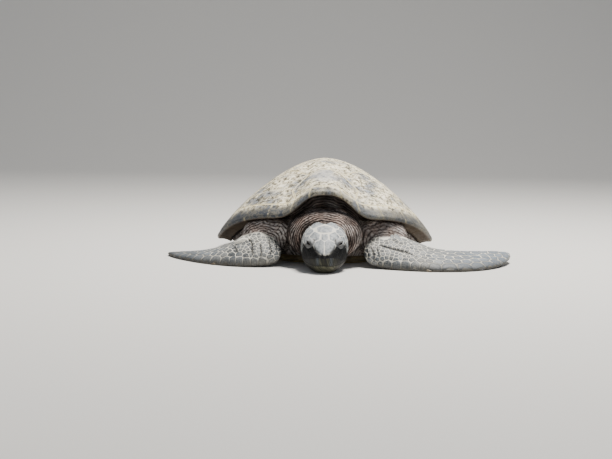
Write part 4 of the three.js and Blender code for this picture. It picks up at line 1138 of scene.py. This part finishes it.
for side, rows in [("left", FRONT_LEFT), ("right", FRONT_RIGHT)]:
    chart = evened(lambda u, v, rows=rows: blade(rows, u, v), (0.0, 1.0), (-np.pi, np.pi, 0.0))
    edge_p = np.concatenate([np.arange(0.14, 0.33, 0.045), np.arange(0.36, 0.95, 0.078)])
    small = edge_p < 0.34
    fixed = np.stack([edge_p, np.where(small, 0.13, 0.115), np.where(small, 28, 32) * MM,
                      np.where(small, 0.75, 1.3), 0.25 + 0.4 * (np.arange(len(edge_p)) * 0.618 % 1)], -1)
    seeds = scattered(chart, front_size, front_stretch, fixed, 14000, 3, ((0.02, 0.99), (-0.97, 0.97)))
    scales(f"front_scales_{side}", chart, seeds, scale_gap, scale_thick, scale_horn,
           (0.0, 0.997, -0.99, 0.99), hold=len(fixed), follow=11 * MM)


def hind_size(p, q):
    """Scale sizes: larger to the tip, and on the underside."""
    return MM * (11 + 9 * smooth(0.1, 0.9, p)) * np.where(q < 0, 1.3, 1.0)


for side, sign in [("left", 1), ("right", -1)]:
    chart = evened(lambda u, v, rows=hind(sign): blade(rows, u, v), (0.0, 1.0), (-np.pi, np.pi, 0.0))
    seeds = scattered(chart, hind_size, front_stretch, np.empty(0), 7000, 5, ((0.02, 0.99), (-0.97, 0.97)))
    scales(f"hind_scales_{side}", chart, seeds, scale_gap, scale_thick, scale_horn,
           (0.0, 0.997, -0.99, 0.99))


# ------------------------------------------------------------------ plates of the head
# The cap of large horn plates: a pair of prefrontals behind the nostrils, the small frontal, the wide
# frontoparietal, one over each eye, and smaller ones behind and on the cheeks, which are near black,
# partly their own dark horn and partly painted shade.
head_chart = evened(head, (3.0, 164.0), (1.5 * np.pi, -0.5 * np.pi, 0.5 * np.pi))
net_p, net_q = np.meshgrid(np.linspace(0, 1, 161), np.linspace(-1, 1, 241), indexing="ij")
net_p, net_q = net_p.ravel(), net_q.ravel()
net = head_chart(net_p, net_q)


def on_head(forward, from_crown):
    """The chart's two parameters at a station in mm and an angle in degrees from the crown to its left."""
    spot = head(np.array([float(forward)]), np.radians(90 - np.array([from_crown])))
    k = np.argmin(np.linalg.norm(net - spot, axis=-1))
    return net_p[k], net_q[k]


# Forward, angle from the crown, size across, how far it is drawn out lengthways, and paleness.
MIDLINE = [(105, 0, 25, 1.0, 0.8), (72, 0, 54, 0.6, 0.95), (28, 0, 24, 0.9, 0.85)]
PAIRS = [
    (138, 14, 32, 1.5, 0.8), (101, 21, 28, 1.1, 0.7), (46, 16, 34, 0.8, 0.85), (72, 40, 24, 1.0, 0.8),
    (48, 44, 25, 1.0, 0.75), (24, 30, 24, 1.0, 0.8), (84, 54, 18, 1.0, 0.6), (66, 60, 20, 1.0, 0.5),
    (82, 74, 17, 1.0, 0.4), (84, 92, 17, 1.0, 0.3), (60, 80, 23, 1.0, 0.35), (60, 104, 22, 1.1, 0.3),
    (102, 100, 17, 1.3, 0.2), (118, 88, 15, 1.3, 0.2), (130, 74, 15, 1.2, 0.2), (134, 52, 14, 1.4, 0.3),
    (28, 52, 22, 1.0, 0.6), (36, 70, 22, 1.0, 0.5), (36, 96, 22, 1.0, 0.4), (84, 112, 18, 1.3, 0.2),
    (60, 124, 20, 1.1, 0.2), (86, 132, 20, 1.3, 0.2), (148, 60, 12, 1.3, 0.3),
]
EYE_SEED = [(110, 52, 42, 1.0, -1)]
rows = MIDLINE + [(f, sign * a, s, w, t) for f, a, s, w, t in PAIRS + EYE_SEED for sign in (1, -1)]
fixed = np.array([(*on_head(f, a), s * MM, w, t) for f, a, s, w, t in rows])


def head_size(p, q):
    """Small scales fill in behind the cap and under the throat."""
    return MM * (10 + 2 * smooth(0.6, 0.3, np.abs(q)))


seeds = scattered(head_chart, head_size, np.ones_like, fixed, 4000, 9, ((0.01, 0.99), (-0.99, 0.99)))
off = head_chart(seeds[:, 0], seeds[:, 1]) - HEAD_BASE
forward, height, aside = off @ HEAD_FORWARD / MM, off @ HEAD_UP / MM, np.abs(off[:, 0]) / MM
from_eye = np.linalg.norm(np.stack([forward, aside, height], -1) - EYE_PLACE, axis=-1)
in_beak = (forward > 92) & (height < 34 + 0.404 * (forward - 88))
at_nose = (forward > 154) & (height < 74)
filler = np.arange(len(seeds)) >= len(fixed)
bare_cap = filler & (forward > 20) & (height > 58)
seeds[(from_eye < 19) | in_beak | at_nose, 4] = -1
seeds = seeds[~bare_cap]

cap_horn, tree = material("head_plate_horn")
place = add(tree, "ShaderNodeTexCoord").outputs["Object"]
tone, rim, dark = (add(tree, "ShaderNodeAttribute", attribute_name=name).outputs["Fac"]
                   for name in ("tone", "rim", "dark"))
patch = add(tree, "ShaderNodeTexNoise",
            {"Vector": place, "Scale": 1 / (9 * MM), "Detail": 5, "Roughness": 0.65})
veil = add(tree, "ShaderNodeMapRange", {0: patch.outputs["Fac"], 1: 0.43, 2: 0.57, 3: 0.0, 4: 0.65})
margin = add(tree, "ShaderNodeMapRange", {0: rim, 1: 0.9, 2: 1.0, 3: 0.0, 4: 0.8})
parts = add(tree, "ShaderNodeSeparateXYZ", {0: place})
rear = add(tree, "ShaderNodeMapRange", {0: parts.outputs[1], 1: -500 * MM, 2: -475 * MM, 3: 0.0, 4: 0.8})
honey = add(tree, "ShaderNodeMath", {0: rear.outputs[0], 1: margin.outputs[0]}, operation="MULTIPLY")
pale = add(tree, "ShaderNodeValToRGB", {"Fac": tone},
           stops=[(0.0, "#53585d"), (1.0, "#8d9297"), (0.5, "#6f7479")])
coats = []
# Two coats: the pale cap, and the near black of the cheeks, partly the scales' own colour and partly painted
# shade; dark mixes them.
for coat, layers in [(pale.outputs[0], [(veil, "#bec2c3"), (margin, "#fbfbf7")]),
                     (srgb("#08090c"), [(veil, "#191a19"), (honey, "#a67a3e")])]:
    for share, colour in layers:
        coat = add(tree, "ShaderNodeMix", {0: share.outputs[0], 6: coat, 7: srgb(colour)},
                   data_type="RGBA").outputs[2]
    coats.append(coat)
both = add(tree, "ShaderNodeMix", {0: dark, 6: coats[0], 7: coats[1]}, data_type="RGBA")
relief = add(tree, "ShaderNodeBump", {"Height": patch.outputs["Fac"], "Distance": 0.5 * MM, "Strength": 0.5})
rough = add(tree, "ShaderNodeMapRange", {0: dark, 3: 0.45, 4: 0.62})
shade = add(tree, "ShaderNodeBsdfPrincipled", {
    "Base Color": both.outputs[2], "Roughness": rough.outputs[0], "Normal": relief.outputs[0], "IOR": 1.5,
    "Specular IOR Level": 0.15,
})
add(tree, "ShaderNodeOutputMaterial", {"Surface": shade.outputs[0]})


def vertices(made):
    """The points of a mesh as rows of x, y, z."""
    flat = np.empty(3 * len(made.data.vertices), np.float32)
    made.data.vertices.foreach_get("co", flat)
    return flat.reshape(-1, 3).astype(float)


plates = scales("head_plates", head_chart, seeds, lambda p: np.full_like(p, 0.9 * MM),
                lambda span: 0.5 * MM + 0.012 * span, cap_horn, (0.0, 1.0, -0.995, 0.995), len(fixed), 30)
# The plates' dark: the cheeks' own colour with painted shade on the head's sides.
attribute(plates, "dark", head_marks_and_shade(vertices(plates))[0])


# ------------------------------------------------------------------ beak and nostrils
# Two sheaths of horn on the jaws, olive and near black with paler upright streaks; the upper one laps
# over the lower, and the line between them is the mouth.
def reached(origin, way):
    """Points where rays from inside leave the skin, found by halving the distance fourteen times."""
    near, far = np.zeros(len(origin)), np.full(len(origin), 0.1)
    for _ in range(14):
        middle = (near + far) / 2
        inside = sampled(body, origin + way * middle[:, None]) < 0
        near, far = np.where(inside, middle, near), np.where(inside, far, middle)
    return origin + way * near[:, None]


BEAK_CENTRE = 112


def around_beak(turn, height):
    """Points of the skin at angles from straight ahead and at heights over the head's base, in mm."""
    flat_turn, flat_height = turn.ravel(), height.ravel()
    way = np.cos(flat_turn)[:, None] * HEAD_FORWARD + np.sin(flat_turn)[:, None] * np.array([1, 0, 0])
    origin = in_head(np.full_like(flat_turn, BEAK_CENTRE), 0 * flat_turn, flat_height)
    return reached(origin, way).reshape(*turn.shape, 3)


beak_horn, tree = material("beak_horn")
sheath = add(tree, "ShaderNodeAttribute", attribute_name="sheath").outputs["Vector"]
lower, front, stripe = (add(tree, "ShaderNodeAttribute", attribute_name=name).outputs["Fac"]
                        for name in ("lower", "front", "stripe"))
streak = add(tree, "ShaderNodeTexNoise", {"Vector": sheath, "Scale": 1.0, "Detail": 4, "Roughness": 0.6})
upper = add(tree, "ShaderNodeValToRGB", {"Fac": streak.outputs["Fac"]},
            stops=[(0.36, "#131416"), (0.66, "#45453a"), (0.5, "#28281f")])
ashen = add(tree, "ShaderNodeMapRange", {0: streak.outputs["Fac"], 1: 0.42, 2: 0.6, 3: 0.2, 4: 0.85})
ashes = add(tree, "ShaderNodeMath", {0: ashen.outputs[0], 1: stripe}, operation="MULTIPLY")
striped = add(tree, "ShaderNodeMix", {0: ashes.outputs[0], 6: upper.outputs[0], 7: srgb("#454d56")},
              data_type="RGBA")
sides = add(tree, "ShaderNodeMix", {0: front, 6: srgb("#090a0c"), 7: striped.outputs[2]}, data_type="RGBA")
olive = add(tree, "ShaderNodeValToRGB", {"Fac": streak.outputs["Fac"]},
            stops=[(0.35, "#2b2c26"), (0.65, "#666553")])
jaw = add(tree, "ShaderNodeMix", {0: front, 6: srgb("#1c1c18"), 7: olive.outputs[0]}, data_type="RGBA")
horn = add(tree, "ShaderNodeMix", {0: lower, 6: sides.outputs[2], 7: jaw.outputs[2]}, data_type="RGBA")
relief = add(tree, "ShaderNodeBump", {"Height": streak.outputs["Fac"], "Distance": 0.5 * MM, "Strength": 0.6})
shade = add(tree, "ShaderNodeBsdfPrincipled", {
    "Base Color": horn.outputs[2], "Roughness": 0.55, "Normal": relief.outputs[0], "IOR": 1.54,
    "Specular IOR Level": 0.18,
})
add(tree, "ShaderNodeOutputMaterial", {"Surface": shade.outputs[0]})

AROUND, UPWARD = 181, 41
turn, share = np.meshgrid(np.radians(np.linspace(-108, 108, AROUND)), np.linspace(0, 1, UPWARD),
                          indexing="ij")
station = (around_beak(turn, 45 + 0 * turn) - HEAD_BASE) @ HEAD_FORWARD / MM
cusp = 3.5 * np.cos(np.clip(turn, -1, 1) * np.pi / 2) ** 2
brow = 30 + 0.404 * (station - 88) - 1.5 * smooth(0.35, 0, np.abs(turn))
sheaths = [
    ("upper_beak_horn", "upper_beak", 33.5 + cusp, brow, 1.0, 0),
    ("lower_beak_horn", "lower_jaw", 10 + 0 * cusp, 31.5 + cusp, 0.7, 1),
]
for name, node, bottom, top, proud, is_lower in sheaths:
    height = bottom + (np.maximum(top, bottom + 2) - bottom) * share
    base = around_beak(turn, height)
    down_rows, down_columns = np.gradient(base, axis=0), np.gradient(base, axis=1)
    normal = unit(np.cross(down_rows, down_columns))
    normal = normal * np.sign(np.sum(normal * (base - in_head(BEAK_CENTRE - 10, 0, 30)), -1, keepdims=True))
    run_u, run_v = np.zeros((2, AROUND, UPWARD))
    run_u[1:] = np.cumsum(np.linalg.norm(np.diff(base, axis=0), axis=-1), 0)
    run_v[:, 1:] = np.cumsum(np.linalg.norm(np.diff(base, axis=1), axis=-1), 1)
    inset = np.minimum(np.minimum(run_u, run_u[-1:] - run_u), np.minimum(run_v, run_v[:, -1:] - run_v))
    roll = 1 - np.clip(inset / (3.5 * MM), 0, 1)
    lift = proud * MM * np.sqrt(1 - np.minimum(roll, 0.999) ** 2) - 1.2 * MM * (inset < 1e-9)
    ridges = 0.5 * MM * (cloud(np.stack([run_u, 0.15 * run_v, 0 * run_u], -1), 5 * MM, 71) - 0.5) * (1 - roll)
    points = base + normal * (lift + ridges)[..., None]
    points[..., 2] = np.maximum(points[..., 2], FLOOR)
    made = piece(name, points.reshape(-1, 3), [grid_faces(AROUND, UPWARD)[:, ::-1]], beak_horn)
    sheath = np.stack([run_u / (5 * MM), 0.12 * run_v / (5 * MM), 3 * is_lower + 0 * run_u], -1)
    attribute(made, "sheath", sheath.reshape(-1, 3))
    attribute(made, "lower", np.full(base[..., 0].size, float(is_lower)))
    attribute(made, "front", smooth(1.25, 0.25, np.abs(turn) + 0.4 * (cloud(base, 9 * MM, 73) - 0.5)).ravel())
    attribute(made, "stripe", np.exp(-((np.abs(base[..., 0]) / MM - 19) / 4.5) ** 2).ravel())
    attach(made, "root")
    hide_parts(node)


# ------------------------------------------------------------------ eyes
# A large dark wet eye each side, under heavy half-closed lids: folds of pebbled skin that grip the ball.
def round_eye(sign, turn, tip, radius):
    """A point round the eye: turn about its axis, tip away from it, at a distance from its middle."""
    out = unit(np.array([sign * 0.70, 0, 0]) + HEAD_UP * 0.44 + HEAD_FORWARD * 0.56)
    fore = unit(HEAD_FORWARD - out * (HEAD_FORWARD @ out))
    up = np.cross(out, fore) * -sign
    centre = in_head(EYE_PLACE[0], sign * EYE_PLACE[1], EYE_PLACE[2])
    turn, tip, radius = (np.asarray(v, float)[..., None] for v in (turn, tip, radius))
    return centre + radius * (np.cos(tip) * out + np.sin(tip) * (np.cos(turn) * fore + np.sin(turn) * up))


wet, tree = material("wet_eye")
tip = add(tree, "ShaderNodeAttribute", attribute_name="tip").outputs["Fac"]
iris = add(tree, "ShaderNodeValToRGB", {"Fac": tip},
           stops=[(0.0, "#040404"), (1.0, "#6d5f4d"), (0.20, "#060505"), (0.24, "#33261a"),
                  (0.40, "#251a12"), (0.46, "#0e0b09")])
shade = add(tree, "ShaderNodeBsdfPrincipled", {"Base Color": iris.outputs[0], "Roughness": 0.08, "IOR": 1.38})
add(tree, "ShaderNodeOutputMaterial", {"Surface": shade.outputs[0]})

lid_skin, tree = material("eyelid_skin")
place = add(tree, "ShaderNodeTexCoord").outputs["Object"]
fold, dark = (add(tree, "ShaderNodeAttribute", attribute_name=name).outputs["Fac"]
              for name in ("fold", "dark"))
cells = add(tree, "ShaderNodeTexVoronoi", {"Vector": place, "Scale": 1 / (3.5 * MM)},
            feature="DISTANCE_TO_EDGE")
tone = add(tree, "ShaderNodeValToRGB", {"Fac": fold},
           stops=[(0.0, "#4a4b4d"), (1.0, "#a9acad"), (0.4, "#8b8d8e")])
murky = add(tree, "ShaderNodeMix", {0: dark, 6: tone.outputs[0], 7: srgb("#26272a")}, data_type="RGBA")
grain = add(tree, "ShaderNodeMapRange", {0: cells.outputs["Distance"], 1: 0.0, 2: 0.3})
relief = add(tree, "ShaderNodeBump", {"Height": grain.outputs[0], "Distance": 0.5 * MM, "Strength": 0.8})
shade = add(tree, "ShaderNodeBsdfPrincipled",
            {"Base Color": murky.outputs[2], "Roughness": 0.5, "Normal": relief.outputs[0]})
add(tree, "ShaderNodeOutputMaterial", {"Surface": shade.outputs[0]})

BALL_RINGS, BALL_SIDES, LID_RINGS, LID_SIDES = 33, 48, 30, 96
for side, sign in [("left", 1), ("right", -1)]:
    tips, turns = np.meshgrid(np.linspace(0, np.pi, BALL_RINGS),
                              np.linspace(0, 2 * np.pi, BALL_SIDES + 1)[:-1], indexing="ij")
    ball = round_eye(sign, turns, tips, EYE_RADIUS + 0 * tips)
    faces = grid_faces(BALL_RINGS, BALL_SIDES, closed=True)
    ball_piece = piece(f"eyeball_{side}", ball.reshape(-1, 3), [faces if sign < 0 else faces[:, ::-1]], wet)
    attribute(ball_piece, "tip", np.clip(tips / np.pi * 2, 0, 1).ravel())
    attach(ball_piece, "root")
    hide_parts(f"eye_{side}")

    around = np.linspace(0, 2 * np.pi, LID_SIDES + 1)[:-1]
    long, high = np.radians(38), np.radians(np.where(np.sin(around) > 0, 9, 11))
    gape = (np.abs(np.cos(around) / long) ** 1.7 + np.abs(np.sin(around) / high) ** 1.7) ** (-1 / 1.7)
    out = np.linspace(0, 1, LID_RINGS)[:, None]
    tip = gape + (np.radians(64) - gape) * out
    waver = 0.9 * np.sin(2 * around + 1) + 0.5 * np.sin(5 * around)
    folds = 0.5 - 0.5 * np.cos(2 * np.pi * 2.2 * out ** 0.8 + waver)
    edge = 0.3 + 1.9 * np.sin(np.minimum(out * 8, 1) * np.pi / 2)
    thick = (edge + 0.7 * folds * smooth(0.1, 0.3, out)) * MM
    outer = round_eye(sign, around + 0 * tip, tip, EYE_RADIUS + thick * (1 - 0.4 * out))
    inner = round_eye(sign, around + 0 * tip, tip, EYE_RADIUS + 0.25 * MM + 0 * tip)
    loop = np.concatenate([outer, inner[::-1]])
    faces = grid_faces(len(loop) + 1, LID_SIDES, closed=True) % (len(loop) * LID_SIDES)
    lid = piece(f"eyelid_{side}", loop.reshape(-1, 3), [faces[:, ::-1] if sign < 0 else faces], lid_skin)
    pale = (0.35 + 0.65 * folds) * smooth(-0.02, 0.1, out)
    attribute(lid, "fold", np.concatenate([pale + 0 * tip, 0 * tip]).ravel())
    # The lids' dark: the head's dark colour with its painted shade.
    attribute(lid, "dark", 0.85 * head_marks_and_shade(loop.reshape(-1, 3))[0])
    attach(lid, "root")


# ------------------------------------------------------------------ claws
# One small horn claw on each flipper's leading edge: a bent cone, worn and brown, rooted in the hide.
claw_horn, tree = material("claw_horn")
length = add(tree, "ShaderNodeAttribute", attribute_name="length").outputs["Fac"]
place = add(tree, "ShaderNodeTexCoord").outputs["Object"]
grain = add(tree, "ShaderNodeTexNoise", {"Vector": place, "Scale": 1 / (2 * MM), "Detail": 4})
tone = add(tree, "ShaderNodeValToRGB", {"Fac": length},
           stops=[(0.0, "#8b8272"), (1.0, "#3b332a"), (0.5, "#635847")])
relief = add(tree, "ShaderNodeBump", {"Height": grain.outputs["Fac"], "Distance": 0.3 * MM, "Strength": 0.5})
shade = add(tree, "ShaderNodeBsdfPrincipled",
            {"Base Color": tone.outputs[0], "Roughness": 0.4, "Normal": relief.outputs[0]})
add(tree, "ShaderNodeOutputMaterial", {"Surface": shade.outputs[0]})


CLAW_RINGS, CLAW_SIDES = 25, 20


def claw(name, rows, share, length):
    """Rings along a way bent backwards by 4 t t mm, their radius falling from 4.5 mm to a round tip."""
    row, ahead, back, face = (part[0] for part in blade_frame(rows, np.array([share])))
    way = unit(0.75 * ahead - 0.65 * back)
    across = unit(np.cross(way, face))
    t = np.linspace(0, 1, CLAW_RINGS)[:, None, None]
    radius = (4.5 - 3.4 * t) * np.sqrt(1 - np.clip((t - 0.9) / 0.101, 0, 1) ** 2)
    centre = row[:3] + back * (5 - row[3] / 2) + face + way * (t * length) + back * (4 * t * t)
    centre[..., 2] = np.maximum(centre[..., 2], radius[..., 0] + 0.5)
    turn = np.linspace(0, 2 * np.pi, CLAW_SIDES + 1)[:-1, None]
    points = (centre + across * (np.cos(turn) * radius) + face * (np.sin(turn) * radius * 0.9)) * MM
    ends = np.stack([points[0].mean(0), points[-1].mean(0)])
    faces = grid_faces(CLAW_RINGS, CLAW_SIDES, closed=True), end_fans(CLAW_RINGS, CLAW_SIDES)
    made = piece(name + "_horn", np.concatenate([points.reshape(-1, 3), ends]),
                 [part[:, ::-1] for part in faces], claw_horn)
    attribute(made, "length", np.append(np.repeat(t.ravel(), CLAW_SIDES), [0, 1]))
    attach(made, "root")
    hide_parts(name)


for side, sign, rows in [("left", 1, FRONT_LEFT), ("right", -1, FRONT_RIGHT)]:
    claw(f"front_claw_{side}", rows, 0.46, 22)
    claw(f"hind_claw_{side}", hind(sign), 0.5, 17)


# ------------------------------------------------------------------ plastron
# The lower shell: six pairs of yellowish scutes with narrow seams, flat where it has worn on the sand.
# Its raised rim is painted dark as shade.
lower_horn, tree = material("plastron_keratin")
place = add(tree, "ShaderNodeTexCoord").outputs["Object"]
seam, wall = (add(tree, "ShaderNodeAttribute", attribute_name=name).outputs["Fac"]
              for name in ("seam", "wall"))
blotch, fine = (
    add(tree, "ShaderNodeTexNoise", {"Vector": place, "Scale": scale, "Detail": 5, "Roughness": rough})
    for scale, rough in [(1 / (60 * MM), 0.6), (1 / (9 * MM), 0.65)])
cream = add(tree, "ShaderNodeValToRGB", {"Fac": blotch.outputs["Fac"]},
            stops=[(0.38, "#a98f5a"), (0.62, "#e2d3a2"), (0.5, "#cbb681")])
scuffed = add(tree, "ShaderNodeMapRange", {0: fine.outputs["Fac"], 1: 0.45, 2: 0.62, 3: 0.0, 4: 0.5})
line = add(tree, "ShaderNodeMapRange", {0: seam, 1: 0.6 * MM, 2: 2.2 * MM, 3: 0.85, 4: 0.0})
coat = cream.outputs[0]
# Scuffs and seams are the horn's own; the wall colour is painted shade on the plastron's rim.
for share, colour in [(scuffed.outputs[0], "#8d7c56"), (line.outputs[0], "#5f4f31"), (wall, "#3f382a")]:
    coat = add(tree, "ShaderNodeMix", {0: share, 6: coat, 7: srgb(colour)}, data_type="RGBA").outputs[2]
relief = add(tree, "ShaderNodeBump", {"Height": fine.outputs["Fac"], "Distance": 0.8 * MM, "Strength": 0.6})
shade = add(tree, "ShaderNodeBsdfPrincipled",
            {"Base Color": coat, "Roughness": 0.55, "Normal": relief.outputs[0]})
add(tree, "ShaderNodeOutputMaterial", {"Surface": shade.outputs[0]})

PLASTRON_SIDES = 240
turn = np.linspace(0, 2 * np.pi, PLASTRON_SIDES + 1)[:-1]
inner = np.linspace(0.02, 0.93, 60)
profile = [(s, 0.3) for s in inner] + [
    (0.95, 0.6), (0.968, 1.6), (0.982, 3.6), (0.992, 7), (0.998, 11), (0.997, 14.5), (0.99, 18),
    (0.975, 21.2), (0.95, 21.8), (0.5, 21.8), (0.02, 21.8)]
plan = np.stack([plastron_outline(s, turn) for s, _ in profile])
x, y = plan[..., 0] / MM, plan[..., 1] / MM
bends = 6 * np.sin(np.abs(x) / 38)
cross_seams = np.abs(y[..., None] + bends[..., None] - np.array([-252, -170, -72, 40, 150, 232])).min(-1)
groove = np.minimum(cross_seams, np.abs(x + 4 * np.sin(y / 60)))
bottom = np.arange(len(profile))[:, None] < len(inner)
lift = np.where(bottom, 0.7 * np.exp(-(groove / 1.6) ** 2), 0)
height = np.array([h for _, h in profile])[:, None] + lift
points = np.concatenate([plan, height[..., None] * MM], -1)
ends = np.array([[0, PLASTRON_Y, 0.3 * MM], [0, PLASTRON_Y, 21.8 * MM]])
made = piece("plastron_horn", np.concatenate([points.reshape(-1, 3), ends]),
             [grid_faces(len(profile), PLASTRON_SIDES, closed=True),
              end_fans(len(profile), PLASTRON_SIDES)], lower_horn)
attribute(made, "seam", np.append(groove.ravel(), [0, 5]) * MM)
# Painted shade: the plastron's rim, above its worn sole, is darkened.
rise = smooth(0.5, 6, height) * (0.5 + 0.5 * cloud(points, 15 * MM, 81))
attribute(made, "wall", np.append(rise.ravel(), [0, 1]))
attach(made, "root")
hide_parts("plastron")
